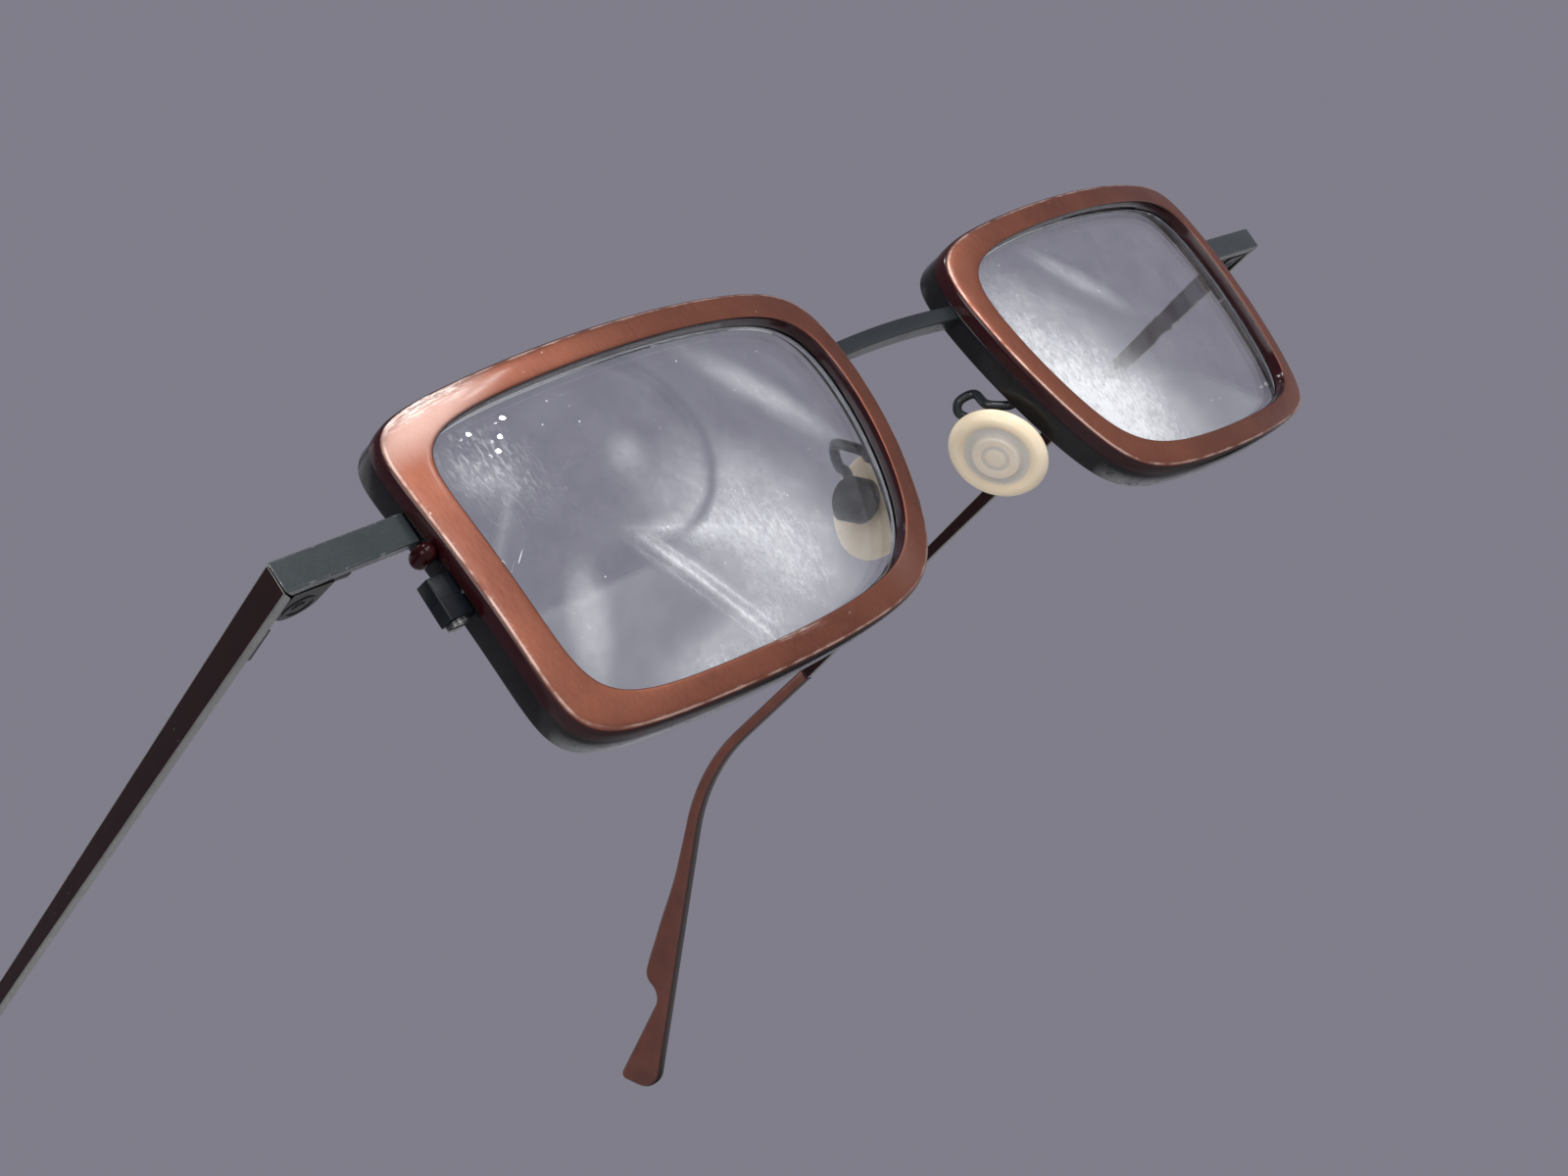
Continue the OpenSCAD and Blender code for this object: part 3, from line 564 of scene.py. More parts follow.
def plain_gloss(name, base, dark, rough, coat=0.3, shine=0.5, edge=None):
    """Moulded plastic: faint clouding, fine grain and a little dust; its edges may have their own colour."""
    look = Surface(name)
    colour = look.clouded(base, dark, 0.3, 4, 0.35, 0.65)
    if edge:
        colour = look.mix(look.span(look.depth(), 0.4, 0.85), colour, edge)
    pale = tuple(min(1, 0.25 + 2 * c) for c in base)
    grain = look.noise(5.0, 6, 0.65)
    return look.shade({
        "Base Color": look.dusty(colour, pale, 0.5, look.specks(0.8, 0.06, 0.25)),
        "Roughness": look.span(grain, 0.3, 0.7, rough - 0.05, rough + 0.08),
        "Specular IOR Level": shine,
        "Coat Weight": coat,
        "Coat Roughness": 0.2,
        "Normal": look.bump(grain, 0.08, 0.02),
    })


def silicone():
    """Milky silicone, a little see-through where it is thin."""
    look = Surface("pad_silicone")
    thin = look.depth()
    colour = look.clouded((1.0, 0.85, 0.65), (0.98, 0.79, 0.56), 0.35, 3, 0.3, 0.7)
    colour = look.mix(thin, colour, (0.82, 0.79, 0.73))
    grain = look.noise(3.0, 5)
    return look.shade({
        "Base Color": look.dusty(colour, (0.6, 0.52, 0.44), 0.25, look.specks(0.6, 0.07, 0.2)),
        "Roughness": look.span(grain, 0.3, 0.7, 0.18, 0.28),
        "IOR": 1.41,
        "Transmission Weight": look.span(thin, 0, 1, 0.04, 0.22),
        "Subsurface Weight": 0.3,
        "Subsurface Radius": (1.0, 0.75, 0.5),
        "Subsurface Scale": 0.0006,
        "Normal": look.bump(grain, 0.03),
    })


# Painted reflections on the lenses, as bright streaks: from, to, half width at each end, strength
REFLECTED_STREAKS = [
    ((-40.9, 12.9), (-33.6, 0.3), (0.55, 0.5), 0.40),
    ((-40.4, 13.2), (-32.8, 1.2), (0.45, 0.4), 0.22),
    ((-41.3, 13.6), (-34.2, 3.4), (0.8, 2.4), 0.22),
    ((-41.8, 14.0), (-26.0, 8.5), (0.8, 4.5), 0.28),
    ((-47.2, 20.5), (-55.5, 12.0), (0.7, 1.0), 0.10),
]
# Smears on the lenses, partly painted reflection: middle, direction, radii along it and across, strength
SMEARS_AND_REFLECTIONS = [
    ((-31.2, 11.8), (1, -0.35), (11.5, 8.0), 0.28),
    ((-29.5, 5.5), (1, 0.2), (9.5, 6.5), 0.27),
    ((-48.3, 9.2), (-0.45, -0.89), (6.5, 2.2), 0.22),
    ((-21.5, 19.8), (0.69, -0.73), (9.5, 2.3), 0.24),
    ((-37.7, 18.9), (1, 0.3), (2.6, 2.2), 0.13),
    ((-39.5, 2.6), (1, 0.1), (10.0, 4.5), 0.28),
    ((-48.8, 21.6), (1, -0.6), (4.0, 2.5), 0.10),
    ((12.6, 12.2), (0.66, -0.75), (23.0, 14.0), 0.52),
    ((12.5, 12.5), (0.66, -0.75), (20.0, 8.0), 0.16),
    ((20.0, 3.5), (0.8, -0.6), (20.0, 12.0), 0.34),
    ((25.6, 20.2), (0.69, -0.73), (8.0, 1.7), 0.20),
]
# Two threads of lint, given like the streaks
LINT = [((-51.6, 16.4), (-51.1, 15.5), (0.08, 0.06), 1.0), ((-50.4, 15.2), (-49.5, 16.0), (0.07, 0.06), 1.0)]
REFLECTED_ARC_MIDDLE, REFLECTED_ARC_R = (-38.2, 20.1), 8.0


def lens_glass():
    """Clear resin with dust, a film, smeared haze, fine scratches, lint and a ground edge, and painted
    reflections: bright streaks, pale patches within the haze, glare near the lamps and a dark arc.
    """
    look = Surface("lens_resin")
    fine = look.noise(2.6, 5, 0.75, stretch=(1, 1, 0.55))
    cloud = look.noise(0.35, 4, 0.65)
    smears_and_reflections = look.plus(*[look.streak(*mark) for mark in REFLECTED_STREAKS], *[look.patch(*mark) for mark in SMEARS_AND_REFLECTIONS])
    mottle = look.times(look.span(fine, 0.3, 0.7, 0.5, 1.3), look.span(cloud, 0.3, 0.65, 0.75, 1.1))
    smears_and_reflections = look.times(smears_and_reflections, mottle)

    # A painted reflection: a dark arc that fades to one side
    across, up = look.along(REFLECTED_ARC_MIDDLE, (1, 0)), look.along(REFLECTED_ARC_MIDDLE, (0, 1))
    away = look.maths("SQRT", look.plus(look.times(across, across), look.times(up, up)))
    off = look.maths("ABSOLUTE", look.maths("SUBTRACT", away, REFLECTED_ARC_R))
    reflected_arc = look.times(look.span(off, 0.1, 0.7, 1, 0), look.span(across, -2, 3))
    smears_and_reflections = look.times(smears_and_reflections, look.span(reflected_arc, 0, 1, 1, 0.35))

    # Fine scratches at the near lens's upper corner, painted pale as the glare of the lamps in them
    rubs_and_glare = look.span(look.noise(4.0, 3, 0.7, stretch=(1, 1, 0.3)), 0.50, 0.62)
    rubs_and_glare = look.times(rubs_and_glare, look.patch((-48.0, 22.6), (0.4, -1), (6.5, 4.5), 0.22))
    smears_and_reflections = look.maths("MINIMUM", look.plus(smears_and_reflections, rubs_and_glare), 0.7)
    film = look.span(cloud, 0.4, 0.75, 0.0, 0.04)
    dust = look.times(look.specks(0.75, 0.06, 0.4), 0.7)
    scratches = look.times(look.hairlines(0.35, 0.006, (0.6, 1, 1.4)), look.span(fine, 0.52, 0.6, 0, 0.2))
    lint = look.most(*[look.streak(*thread) for thread in LINT])
    ground = look.span(look.depth(), 0.08, 0.3)
    marks = look.most(look.plus(film, smears_and_reflections, dust, scratches, lint), look.times(ground, 0.9))
    tint = look.mix(reflected_arc, (0.93, 0.95, 0.97), (0.72, 0.74, 0.78))
    return look.shade({
        "Base Color": look.mix(ground, tint, (0.66, 0.67, 0.68)),
        "Transmission Weight": look.span(marks, 0, 1, 1, 0),
        "Roughness": look.most(look.span(smears_and_reflections, 0.0, 0.6, 0.0, 0.04), look.times(ground, 0.4)),
        "IOR": 1.5,
    })


bar_metal = painted("bar_metal", (0.014, 0.020, 0.023), (0.010, 0.014, 0.017), 0.34, coat=0.2)
end_metal = painted("end_metal", (0.031, 0.040, 0.043), (0.022, 0.029, 0.031), 0.32, coat=0.2)
# Edge materials: rubbed bare in places, and paler as painted highlights on the bevels and a painted
# reflection on the undersides
bar_edge = painted("bar_edge", (0.050, 0.060, 0.064), (0.036, 0.044, 0.048), 0.34, coat=0.2,
                   rubbed=0.42, bare=(0.25, 0.25, 0.24))
# The rim's pale lower rear edge is a painted reflection of the pale surface below
rim_metal = painted("rim_metal", (0.009, 0.0085, 0.0095), (0.006, 0.006, 0.0065), 0.16, shine=0.35,
                    bare=(0.50, 0.51, 0.52), pale_reflection_below=5)
block_metal = painted("block_metal", (0.005, 0.007, 0.010), (0.003, 0.005, 0.008), 0.36, shine=0.25)
hinge_metal = painted("hinge_metal", (0.014, 0.014, 0.016), (0.010, 0.010, 0.011), 0.36, shine=0.2)
temple_metal = painted("temple_metal", (0.017, 0.0045, 0.0045), (0.012, 0.003, 0.003), 0.34, shine=0.2)
# The temples' edges and undersides: painted highlights and a painted reflection, over some rubbing
temple_edge = painted("temple_edge", (0.19, 0.185, 0.175), (0.13, 0.125, 0.12), 0.30, coat=0.2,
                      rubbed=0.3, bare=(0.25, 0.24, 0.23))
ring_plastic = ring_material()
lug_plastic = plain_gloss("lug_plastic", (0.022, 0.002, 0.003), (0.015, 0.002, 0.002), 0.16, coat=0.0,
                          shine=0.15)
tip_plastic = plain_gloss("tip_plastic", (0.135, 0.040, 0.024), (0.100, 0.029, 0.019), 0.42, coat=0.1,
                          edge=(0.022, 0.008, 0.007))
core_plastic = plain_gloss("core_plastic", (0.72, 0.55, 0.34), (0.62, 0.45, 0.27), 0.3)
pad_soft = silicone()
lens_clear = lens_glass()
screw_steel = painted("screw_steel", (0.05, 0.05, 0.052), (0.03, 0.03, 0.032), 0.3, coat=0.4, rubbed=0.3)


# Shapes of the front
def ring_shape():
    """The domed ring. Its points carry their depth: negative outside, positive down the inner wall."""
    steps = 300
    corners = [(0, 0.5), (0.035, 0.22), (0.11, 0.07), (0.25, 0.0), (0.6, 0.02), (0.88, 0.08), (0.965, 0.16),
               (1, RING_DOME)]
    section = [(0.03, RING_THICK), (0, RING_THICK - 0.06), *smooth_line(corners, 5),
               (1, RING_THICK - 0.05), (0.97, RING_THICK)]
    points, values = [], []
    for k in range(steps):
        for share, depth in section:
            points.append(on_front(face_point(k * 360 / steps, max(share, 0)), depth))
            values.append(float(-depth if share < 0.5 else max(0, depth - 0.12)))
    return Shape().add(points, grid_faces(steps, len(section), True), values, AT_EYE)


def rim_shape():
    """The metal rim with its groove, open at the slit; its marked points lie on the outer rear edge, where
    the low part gets a painted reflection.
    """
    steps, lip, outer = 300, 0.4, 0.1
    corners = [
        (outer, RIM_FRONT), (RIM_WALL, RIM_FRONT), (RIM_WALL, GROOVE_DEPTH - lip),
        (RIM_WALL - GROOVE, GROOVE_DEPTH), (RIM_WALL, GROOVE_DEPTH + lip),
        (RIM_WALL, RIM_BACK), (outer, RIM_BACK),
    ]
    section = rounded(corners, [0.15, 0.05, 0.03, 0.03, 0.03, 0.12, 0.28], 3)
    start, sweep = SLIT_ANGLE + SLIT_HALF, 360 - 2 * SLIT_HALF
    points, values = [], []
    for k in range(steps + 1):
        for inset, depth in section:
            points.append(on_front(even_point(start + k * sweep / steps, inset), depth))
            values.append(float(inset < 0.4 and depth > RIM_BACK - 0.45))
    return Shape().add(points, grid_faces(steps + 1, len(section)), values, AT_EYE)


def lens_shape():
    """The bowed lens: rows of points from the front's middle, round the bevel, to the rear's middle."""
    steps = 480
    edge, apex = RIM_WALL + GROOVE, RIM_WALL - GROOVE + LENS_PLAY
    rows = [(edge, s, LENS_FRONT) for s in (0.2, 0.4, 0.6, 0.8, 0.93, 1)]
    rows += [(apex, 1, GROOVE_DEPTH)]
    rows += [(edge, s, LENS_BACK) for s in (1, 0.93, 0.8, 0.6, 0.4, 0.2)]
    points, values = [], []
    for inset, scale, depth in rows:
        points += [on_front(scale * even_point(k * 360 / steps, inset), depth) for k in range(steps)]
        values += [float(inset == apex)] * steps
    faces = grid_faces(len(rows), steps)[:-2]
    first, last, end = len(points), len(points) + 1, len(points) - steps
    points += [on_front(np.zeros(2), LENS_FRONT), on_front(np.zeros(2), LENS_BACK)]
    for k in range(steps):
        after = (k + 1) % steps
        faces += [(first, k, after), (last, end + after, end + k)]
    return Shape().add(points, faces, values + [0.0, 0.0], AT_EYE)


def lug_shape():
    """The bead by the end piece: a short rod with round ends."""
    z = BAR_LOW - LUG_R - GLUE
    x = wall_out(z - LUG_R, z + LUG_R, RING_THICK - LUG_R) + LUG_R + GLUE
    profile = [(LUG_R * sin(a), -LUG_R * cos(a)) for a in range(0, 91, 9)]
    profile += [(LUG_R * sin(a), LUG_LENGTH - LUG_R * cos(a)) for a in range(90, 181, 9)]
    place = Matrix.Translation((x, rim_side(z, 1, RING_THICK)[1], z)) @ turn(-90, "X")
    return Shape().lathe(profile, 40, place)


def bar_shape():
    """The end piece: a flat bar from the rim to the mitred corner."""
    length = CORNER_X - wall_out(BAR_LOW, BAR_TOP, RIM_FRONT) - GLUE
    outline = [(-length, 0), (0, 0), (-BAR_THICK, BAR_THICK), (-length, BAR_THICK)]
    place = Matrix.Translation((CORNER_X, BAR_Y, BAR_Z)) @ turn(BAR_FALL, "Y")
    return Shape().prism(outline, -BAR_HEIGHT / 2, BAR_HEIGHT / 2, place)


def block_shape(sign):
    """The upper or the lower half of the closing block."""
    half = BLOCK_HALF + RIM_SLIT / 2
    rows = [(0.01, 0), (half - 0.06, 0), (half - 0.02, 0.02), (half, 0.06)]
    points = []
    for away, inset in rows:
        x, y = BLOCK_X + inset, BLOCK_Y + inset
        far_x, far_y = BLOCK_X + BLOCK_OUT - inset, BLOCK_Y + BLOCK_DEPTH - inset
        flat = rounded([(x, y), (far_x, y), (far_x, far_y), (x, far_y)], [0.02, 0.18, 0.18, 0.02], 3)
        points += [(p[0], p[1], BLOCK_Z + sign * away) for p in flat]
    return Shape().add(points, grid_faces(len(rows), len(flat)))


def screw_shape(place, shaft_r, shaft_length, head_r):
    """A shaft above its place, and a slotted head below."""
    head, half_slot, edge = 0.35, 0.15, 0.06
    shaft = [(0, shaft_length), (shaft_r - edge, shaft_length), (shaft_r, shaft_length - edge), (shaft_r, 0),
             (head_r, 0), (head_r, edge - head)]
    shape = Shape().lathe(shaft, 40, place)
    slot_edge = math.degrees(math.asin(half_slot / head_r))
    for sign in (1, -1):
        shape.prism(arc(head_r, sign * slot_edge, sign * (180 - slot_edge), 23), -head, -head / 2, place)
    return shape.prism(arc(head_r, 0, 360, 40), -head / 2, 0, place)


def bridge_shape():
    """A flat bar, slightly arched, whose ends follow the rims."""
    steps, low, front = 41, BRIDGE_Z - BRIDGE_HEIGHT, RIM_FRONT + 0.1
    half = min(rim_side(z, -1, front + BRIDGE_DEPTH)[0] for z in np.linspace(low, BRIDGE_Z + 0.2, 5)) - GLUE
    y = rim_side(low, -1, front)[1]
    bow = (half ** 2 + BRIDGE_RISE ** 2) / (2 * BRIDGE_RISE)
    corners = [(0, 0), (BRIDGE_DEPTH, 0), (BRIDGE_DEPTH, -BRIDGE_HEIGHT), (0, -BRIDGE_HEIGHT)]
    section = rounded(corners, [0.18] * 4, 4)
    points = []
    for share in np.linspace(-1, 1, steps):
        for back, up in section:
            level = BRIDGE_Z + up
            reach = half if abs(share) < 0.99 else max(half, rim_side(level, -1, front + back)[0] - GLUE)
            drop = bow - math.sqrt(bow ** 2 - (share * reach) ** 2)
            points.append((share * reach, y + back, level + BRIDGE_RISE - drop))
    return Shape().add(points, grid_faces(steps, len(section)))


# Shapes of the pads
def pad_spot(down, side, out):
    return AT_PAD @ Vector((down, side, out))


def arm_shape():
    """The bent wire from the rim to the pad box."""
    root = worn(even_point(rim_angle(-1.6, -1), RIM_WALL * 0.35), RIM_BACK + GLUE + 0.03)
    out = BOX_MOUTH - BOX_DEPTH / 2
    corners = [
        root, root + (-0.1, 0.6, 0.15), root + (-1.2, 1.6, 1.2),
        pad_spot(-PAD_R - 0.1, 0.8, -3.2), pad_spot(-PAD_R - 0.7, -0.25, -2.42),
        pad_spot(-PAD_R - 0.15, -0.88, -1.95), pad_spot(-BOX_R - 1.8, -0.7, -2.0),
        pad_spot(-BOX_R - 0.9, -0.05, out), pad_spot(-BOX_R - GLUE - 0.02, 0, out),
    ]
    route = [Vector(p) for p in smooth_line(corners, 10)]
    around, points = 18, []
    across = Vector((0.3, 0.9, 0.3))
    for k, here in enumerate(route):
        ahead = (route[min(k + 1, len(route) - 1)] - route[max(k - 1, 0)]).normalized()
        if k == 0:
            across = ahead.cross(across).normalized()
        across = (across - ahead * across.dot(ahead)).normalized()
        up = across.cross(ahead)
        points += [here + x * across + z * up for x, z in arc(WIRE_R, 0, 360, around)]
    return Shape().add(points, grid_faces(len(route), around))


def cup_shape():
    """The pad box: a round cup with a rectangular opening for the stem."""
    low = BOX_MOUTH - BOX_DEPTH
    rows = [(BOX_R - 0.25, low), (BOX_R - 0.08, low + 0.06), (BOX_R, low + 0.22), (BOX_R, BOX_MOUTH - 0.1),
            (BOX_R - 0.1, BOX_MOUTH)]
    angles = range(2, 362, 4)
    points = [(wide * cos(a), wide * sin(a), level) for wide, level in rows for a in angles]
    for level in (BOX_MOUTH, low + 0.4):
        for a in angles:
            wide = min((STEM_HALF + 0.4) / abs(cos(a)), (STEM_HALF + 0.1) / abs(sin(a)))
            points.append((wide * cos(a), wide * sin(a), level))
    return Shape().add(points, grid_faces(len(rows) + 2, len(angles)), place=AT_PAD)


def core_shape():
    """The stiff disc in the pad, with the stem that sits in the box."""
    top, edge = CORE_BACK + CORE_DISC, 0.1
    profile = [(0, top), (PAD_CORE_R - edge, top), (PAD_CORE_R, top - edge), (PAD_CORE_R, CORE_BACK + edge),
               (PAD_CORE_R - edge, CORE_BACK), (0, CORE_BACK)]
    core = Shape().lathe(profile, 56, AT_PAD)
    low, high = (-STEM_HALF, -STEM_HALF, SCREW_LEVEL - 0.5), (STEM_HALF, STEM_HALF, CORE_BACK + edge)
    return core.box(low, high, AT_PAD)


def pad_shape():
    """The soft pad: a raised rim, a recess and a flat middle; its values say how thin and clear it looks."""
    front = PAD_BACK + PAD_RIM + PAD_CROWN
    edge, rise, cavity_r = 0.5, PAD_RIM / 2, PAD_CORE_R + GLUE
    profile = [(cavity_r * 0.45, PAD_BACK), (cavity_r, PAD_BACK), (PAD_R - edge - 0.3, PAD_BACK)]
    profile += [(PAD_R - edge + edge * cos(a), PAD_BACK + rise + rise * sin(a)) for a in range(-80, 31, 10)]
    # Radius, depth below the front and value, from the side wall in to the flat middle
    crown = [
        (PAD_R - 0.22, 0.46, 0), (PAD_R - 0.5, 0.18, 0), (PAD_R - 0.85, 0.08, 0), (PAD_R - 1.15, 0.16, 0),
        (3.12, 0.36, 0), (2.9, 0.50, 0.8), (2.65, 0.55, 1.0), (2.4, 0.50, 1.0), (2.22, 0.28, 0.9),
        (2.1, 0.04, 0.6), (2.0, 0, 0.5),
    ]
    crown = [(*profile[-1], 0.0)] + [(r, front - low, value) for r, low, value in crown]
    profile += [tuple(p) for p in smooth_line(crown, 4)[1:]]
    groove = [(1.45, 0), (1.35, 0.03), (1.2, 0.10), (1.0, 0.10), (0.85, 0.03), (0.78, 0), (0.4, 0), (0, 0)]
    profile += [(r, front - low, 0.9 if low > 0.05 else 0.4) for r, low in groove]
    return Shape().lathe(profile, 72, AT_PAD)


# Shapes of the hinge and the temple
def knuckles_shape():
    """The two outer knuckles and their plate, with a small ring and the screw's end below."""
    reach, inset = HINGE_BACK - BAR_THICK - GLUE, 0.15
    hinge = Shape()
    outline = arc(KNUCKLE_R, 0, 180, 32) + [(-KNUCKLE_R, -reach), (KNUCKLE_R, -reach)]
    for low in (0, 2 * (KNUCKLE + PLAY)):
        hinge.prism(outline, low, low + KNUCKLE, AT_HINGE)
    hinge.box((-KNUCKLE_R - 1.5, -reach, inset),
              (KNUCKLE_R, -KNUCKLE_R - PLAY - 0.04, BAR_HEIGHT - inset), AT_HINGE)
    ring = [(1.0, 0.02), (1.02, -0.05), (1.08, -0.08), (1.2, -0.08), (1.26, -0.05), (1.28, 0.02)]
    hinge.lathe(ring, 48, AT_HINGE, hole=True)
    return hinge.lathe([(0, -0.1), (0.4, -0.1), (0.5, -0.07), (0.56, 0.02)], 40, AT_HINGE)


def leaf_shape():
    """The middle knuckle, its neck and the plate on the temple's inner face."""
    start, half, level = HINGE_BACK + KNUCKLE_R + LEAF_GAP, BAR_HEIGHT / 2 - 0.25, KNUCKLE / 2
    end = start + LEAF_LENGTH
    leaf = Shape().prism(arc(KNUCKLE_R, 0, 360, 48), KNUCKLE + PLAY, 2 * KNUCKLE + PLAY, AT_HINGE)
    leaf.box((-BAR_THICK - HINGE_IN, HINGE_BACK - KNUCKLE_R / 2, -level + 0.01),
             (-BAR_THICK - GLUE, HINGE_BACK + KNUCKLE_R / 2, level - 0.01), AT_CORNER)
    outline = [
        (HINGE_BACK, -level), (start, -level), (start, fall(start) - half), (end, fall(end) - half),
        (end, fall(end) + half), (start, fall(start) + half), (start, level), (HINGE_BACK, level),
    ]
    return leaf.plate(outline, BAR_THICK + GLUE, LEAF_THICK, AT_CORNER)


def rail_shape():
    """The temple: a flat bar that starts at the mitre and tapers."""
    run = cos(TEMPLE_SPLAY) - sin(TEMPLE_SPLAY)
    outer_start = MITRE_GAP / run
    inner_start = (MITRE_GAP + BAR_THICK * (cos(TEMPLE_SPLAY) + sin(TEMPLE_SPLAY))) / run
    stations = [0, 8, 20, 35, TAPER_LENGTH, TEMPLE_LENGTH]
    points = []
    for y in stations:
        half = (BAR_HEIGHT + (TEMPLE_HEIGHT - BAR_HEIGHT) * min(y / TAPER_LENGTH, 1)) / 2
        inner, outer = (inner_start, outer_start) if y == 0 else (y, y)
        points += [(0, outer, fall(outer) - half), (0, outer, fall(outer) + half),
                   (-BAR_THICK, inner, fall(inner) + half), (-BAR_THICK, inner, fall(inner) - half)]
    return Shape().add(points, grid_faces(len(stations), 4), place=AT_CORNER)


def tip_outline():
    """The tip from the side: straight, bent down, and broader towards the hooked step and the end."""
    half_bend = math.radians((TIP_ANGLE - TEMPLE_FALL) / 2)
    lower_start = TIP_STRAIGHT - TIP_BEND * math.tan(half_bend) * cos(TEMPLE_FALL)
    centre = np.array([lower_start - TIP_BEND * sin(TEMPLE_FALL),
                       fall(lower_start) - TIP_HEIGHT / 2 - TIP_BEND * cos(TEMPLE_FALL)])

    def bend(height_0, height_1, parts=24):
        out = []
        for share in np.arange(parts + 1) / parts:
            a = TEMPLE_FALL + (TIP_ANGLE - TEMPLE_FALL) * share
            r = TIP_BEND + height_0 + (height_1 - height_0) * share
            out.append(centre + r * np.array([sin(a), cos(a)]))
        return out

    def drop_arc(middle, radius, start, end, parts):
        return [drop_point(*p) for p in arc(radius, start, end, parts, middle)]

    rise = TIP_STEP_HEIGHT - TIP_NECK
    start = GLUE + BAR_THICK * sin(TIP_LEAN)
    low = [np.array([s, fall(s) - TIP_HEIGHT / 2]) for s in np.linspace(start, lower_start, 6)[:-1]]
    swell = [(0.53, 0.22), (0.74, 0.6), (0.84, 0.76)]
    back = [drop_point(TIP_STEP * s, TIP_NECK + rise * share) for s, share in swell]
    back.append(drop_point(TIP_STEP - 1.6, TIP_STEP_HEIGHT - 0.14))
    hook_low = TIP_STEP_HEIGHT - HOOK_R
    tilt = math.degrees(math.asin((NOTCH_HEIGHT + NOTCH_R - hook_low) / (NOTCH_R + HOOK_R)))
    hook = drop_arc((TIP_NOTCH - (NOTCH_R + HOOK_R) * cos(tilt), hook_low), HOOK_R, tilt, 97, 12)
    upper_bend = bend(TIP_HEIGHT, TIP_NECK)
    top = smooth_line([*upper_bend[-2:], *back, hook[-1], hook[-2]], 6)[6:-6]
    outline = low + bend(0, 0)
    outline += drop_arc((TIP_DROP - TIP_ROUND, TIP_ROUND), TIP_ROUND, -90, 0, 14)
    outline += drop_arc((TIP_DROP - TIP_CORNER_R, TIP_END_HEIGHT - TIP_CORNER_R), TIP_CORNER_R, 0, 107, 10)
    outline += drop_arc((TIP_NOTCH, NOTCH_HEIGHT + NOTCH_R), NOTCH_R, 290, 180 + tilt, 14) + hook[1:]
    outline += top[::-1][1:] + upper_bend[::-1][1:]
    return outline + [np.array([start, TIP_HEIGHT / 2])]


def tip_shape():
    """The tip with round edges. Its points carry 1 on the side walls and 0 on the faces."""
    outline = tip_outline()
    count, parts = len(outline), 5
    normals = []
    for i in range(count):
        run = outline[(i + 1) % count] - outline[i - 1]
        normals.append(np.array([run[1], -run[0]]) / max(np.linalg.norm(run), 1e-9))
    rows = [(TIP_EDGE * (1 - sin(a)), TIP_EDGE * (1 - cos(a))) for a in np.linspace(0, 90, parts + 1)]
    rows += [(inset, TIP_THICK - depth) for inset, depth in reversed(rows)]
    outer = (BAR_THICK - TIP_THICK) / 2
    points = []
    for inset, depth in rows:
        points += [(-outer - depth, *(p - n * inset)) for p, n in zip(outline, normals)]
    values = [1 - inset / TIP_EDGE for inset, _ in rows for _ in outline]
    return Shape().add(points, grid_faces(len(rows), count), values, AT_TIP)


# The screws, and then the pieces of each side: name, shape, material, slot, body, replaced solid and finish
LOCK_SCREW = Matrix.Translation((BLOCK_X + BLOCK_OUT * 0.6, BLOCK_Y + BLOCK_DEPTH / 2, BLOCK_LOW - GLUE))
CUP_SCREW = AT_PAD @ Matrix.Translation((0, -BOX_R - GLUE, SCREW_LEVEL)) @ turn(-90, "X")
PIVOT = AT_HINGE @ Matrix.Translation((0, 0, BAR_HEIGHT + GLUE)) @ Matrix.Diagonal((1, 1, -1, 1))
lock_screw = screw_shape(LOCK_SCREW, RIM_SCREW_R, 2 * BLOCK_HALF + RIM_SLIT - 0.3, RIM_SCREW_R + 0.3)
cup_screw = screw_shape(CUP_SCREW, PAD_SCREW_R, 2 * BOX_R, PAD_SCREW_R + 0.2)
pivot = screw_shape(PIVOT, SCREW_R, BAR_HEIGHT, SCREW_R + 0.35)
bar_finish, rail_finish = {"bevel": 0.12, "edge_wear_and_sheen": bar_edge}, {"bevel": 0.12, "edge_wear_and_sheen": temple_edge}
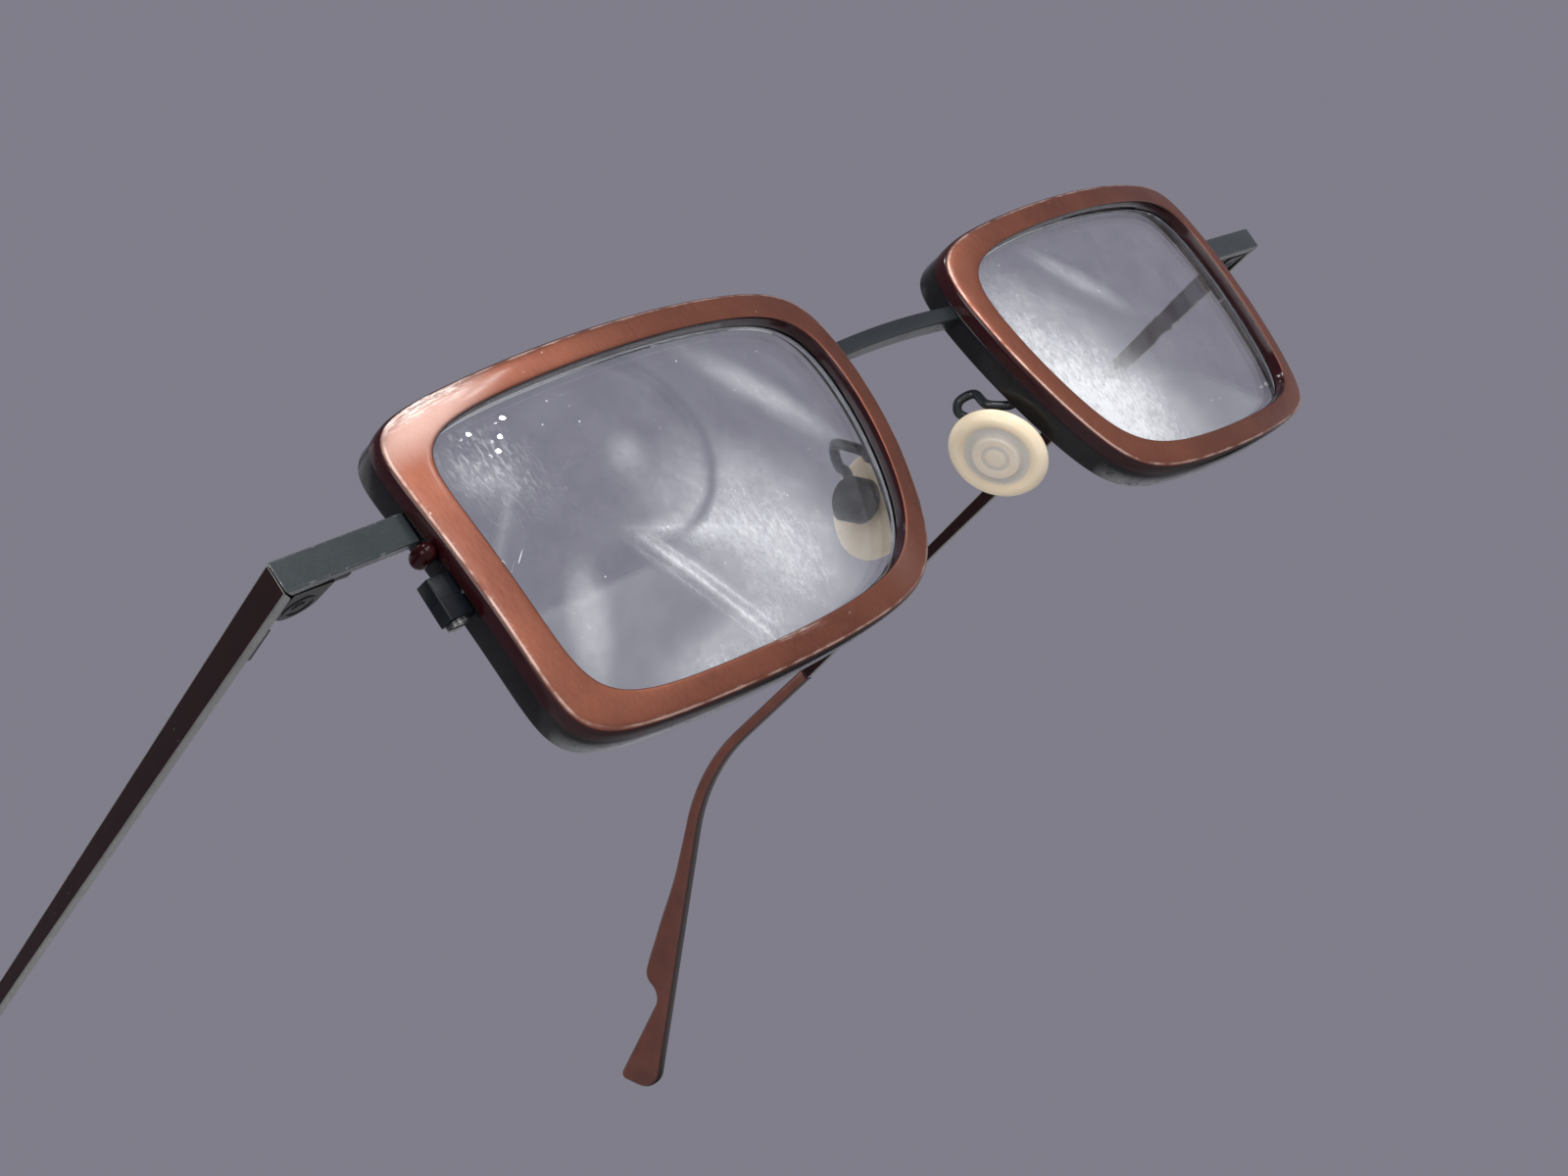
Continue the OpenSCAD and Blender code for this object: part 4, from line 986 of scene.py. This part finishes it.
PARTS = [
    ("ring", ring_shape(), ring_plastic, "ring", "front", "front_ring", {"sharp": 50}),
    ("rim_wall", rim_shape(), rim_metal, "rim_metal", "front", "rim", {"sharp": 50}),
    ("clear_lens", lens_shape(), lens_clear, "lens", "front", "lens", {"sharp": 20}),
    ("bead", lug_shape(), lug_plastic, "lug", "front", "ring_lug", {}),
    ("end_bar", bar_shape(), end_metal, "bar_metal", "front", "end_piece", bar_finish),
    ("lock_upper", block_shape(1), block_metal, "block_metal", "front", "block_upper", {"sharp": 30}),
    ("lock_lower", block_shape(-1), block_metal, "block_metal", "front", "block_lower", {"sharp": 30}),
    ("lock_screw", lock_screw, screw_steel, "screw", "front", "rim_screw", {"sharp": 30}),
    ("wire", arm_shape(), bar_metal, "bar_metal", "front", "pad_arm", {}),
    ("cup", cup_shape(), block_metal, "box_metal", "front", "pad_box", {}),
    ("cup_screw", cup_screw, screw_steel, "screw", "front", "pad_screw", {"sharp": 30}),
    ("core", core_shape(), core_plastic, "pad_core", "pad", "pad_core", {}),
    ("pad_skin", pad_shape(), pad_soft, "pad", "pad", "nose_pad", {}),
    ("knuckles", knuckles_shape(), hinge_metal, "hinge_metal", "front", "hinge_front", {"bevel": 0.08}),
    ("leaf", leaf_shape(), hinge_metal, "hinge_metal", "arm", "hinge_temple", {"bevel": 0.08}),
    ("pivot", pivot, screw_steel, "screw", "front", "hinge_screw", {"sharp": 30}),
    ("rail", rail_shape(), temple_metal, "temple_metal", "arm", "temple", rail_finish),
    ("tip", tip_shape(), tip_plastic, "tip", "arm", "temple_tip", {"sharp": 60}),
]
for name, side in SIDES.items():
    for part, shape, material, slot, body, node, finish in PARTS:
        own_body = body if body == "front" else f"{name}_{body}"
        piece(f"{name}_{part}", shape, side, material, slot, own_body, f"{name}_{node}", **finish)
piece("bridge_bar", bridge_shape(), 1, bar_metal, "bar_metal", "front", "bridge", sharp=50)

# The photograph's camera: its place in the worn frame, how it is turned, and its focal length in pixels
CAMERA_AT = Vector((-158.76, -106.88, -31.9))
HEADING, CAMERA_RISE, ROLL = -49.416, 7.857, -33.217
FOCAL, PHOTO_WIDTH, SENSOR = 2415, 1600, 36
camera_data = bpy.data.cameras.new("camera")
camera_data.sensor_width = SENSOR
camera_data.lens = SENSOR * FOCAL / PHOTO_WIDTH
camera_data.clip_start = 0.01
camera_data.clip_end = 20
camera = new_object("camera", camera_data)
aim = turn(LEAN, "X") @ turn(HEADING, "Z") @ turn(90 + CAMERA_RISE, "X") @ turn(ROLL, "Z")
camera.matrix_world = Matrix.Translation(STAND @ CAMERA_AT) @ aim
bpy.context.scene.camera = camera

# A pale floor that is clear from below, because the photograph looks up past it
floor_mesh = bpy.data.meshes.new("floor")
floor_mesh.from_pydata([(-4, -4, 0), (4, -4, 0), (4, 4, 0), (-4, 4, 0)], [], [(0, 1, 2, 3)])
floor = new_object("floor", floor_mesh)
floor.location.z = -0.00005
paint = Nodes(bpy.data.materials.new("floor_paint"))
floor_mesh.materials.append(paint.shade({"Base Color": (0.62, 0.62, 0.64, 1), "Roughness": 0.6}))
from_below = paint.add("NewGeometry").outputs["Backfacing"]
clear = paint.add("BsdfTransparent").outputs["BSDF"]
paint.blend(from_below, paint.shader.outputs["BSDF"], clear, "Material Output")


# Light: a key, an overhead lamp, a wide panel whose edge fades, two soft fills and a cluster of small lamps
def area_light(name, toward, distance, size, power):
    """A round lamp at a distance from the bridge, in a direction of the worn frame."""
    data = bpy.data.lights.new(name, "AREA")
    data.shape = "DISK"
    data.size = size
    data.energy = power
    light = new_object(name, data)
    direction = turn(LEAN, "X") @ Vector(toward).normalized()
    light.location = STAND @ Vector((0, 0, 0)) + direction * distance
    light.rotation_euler = direction.to_track_quat("Z", "Y").to_euler()
    return data


def mirror_place(spot, away):
    """The place from which a lamp is mirrored to the camera at a spot on the front of the right lens."""
    at_eye = Matrix.Diagonal((-1, 1, 1, 1)) @ AT_EYE
    place = at_eye @ Vector(on_front(np.array(spot), LENS_FRONT))
    outward = at_eye.to_3x3() @ Vector((spot[0] / FACE_BOW, -1, spot[1] / FACE_BOW))
    return place + away * (place - CAMERA_AT).normalized().reflect(outward.normalized())


area_light("key", (-0.14, -0.93, 0.33), 0.8, 0.40, 3.0)
area_light("overhead", (0.05, -0.35, 0.93), 0.8, 0.14, 1.4)
glow = Nodes(area_light("panel", (0.80, -0.56, -0.10), 0.8, 0.70, 0.22))
area_light("side", (-0.86, -0.45, 0.20), 0.9, 0.5, 2.7)
area_light("fill", (-0.2, 0.8, 0.55), 0.9, 0.6, 0.4)
LAMP_AWAY = 1216
LAMP_SPOTS = [(10.3, 11.5), (11.3, 10.4), (12.4, 9.1), (13.2, 8.2), (13.7, 11.2), (14.3, 10.2)]
for number, spot in enumerate(LAMP_SPOTS):
    place = mirror_place(spot, LAMP_AWAY)
    area_light(f"lamp_{number}", place, place.length / 1000, 0.009, 0.5)

on_panel = glow.add("NewGeometry").outputs["Parametric"]
from_middle = glow.add("VectorMath", operation="DISTANCE", Vector=on_panel)
from_middle.inputs[1].default_value = (0.5, 0.5, 0)
faded = glow.span(from_middle.outputs["Value"], 0.02, 0.5, 2.5, 0)
faded.node.interpolation_type = "SMOOTHSTEP"
glow.feed(glow.nodes["Emission"].inputs["Strength"], faded)

# The room lights the pair with one pale colour, and shows and mirrors a darker one
room = Nodes(bpy.data.worlds.new("room"))
bpy.context.scene.world = room.owner
lit = room.nodes["Background"]
lit.inputs["Color"].default_value = (0.80, 0.80, 0.84, 1)
lit.inputs["Strength"].default_value = 0.60
seen = room.add("Background", Color=(0.215, 0.208, 0.252, 1))
ray = room.add("LightPath").outputs
shown = room.most(ray["Is Camera Ray"], ray["Is Glossy Ray"], ray["Is Transmission Ray"])
room.blend(shown, lit.outputs["Background"], seen.outputs["Background"], "World Output")
bpy.context.scene.view_settings.view_transform = "Standard"

bpy.context.view_layer.update()
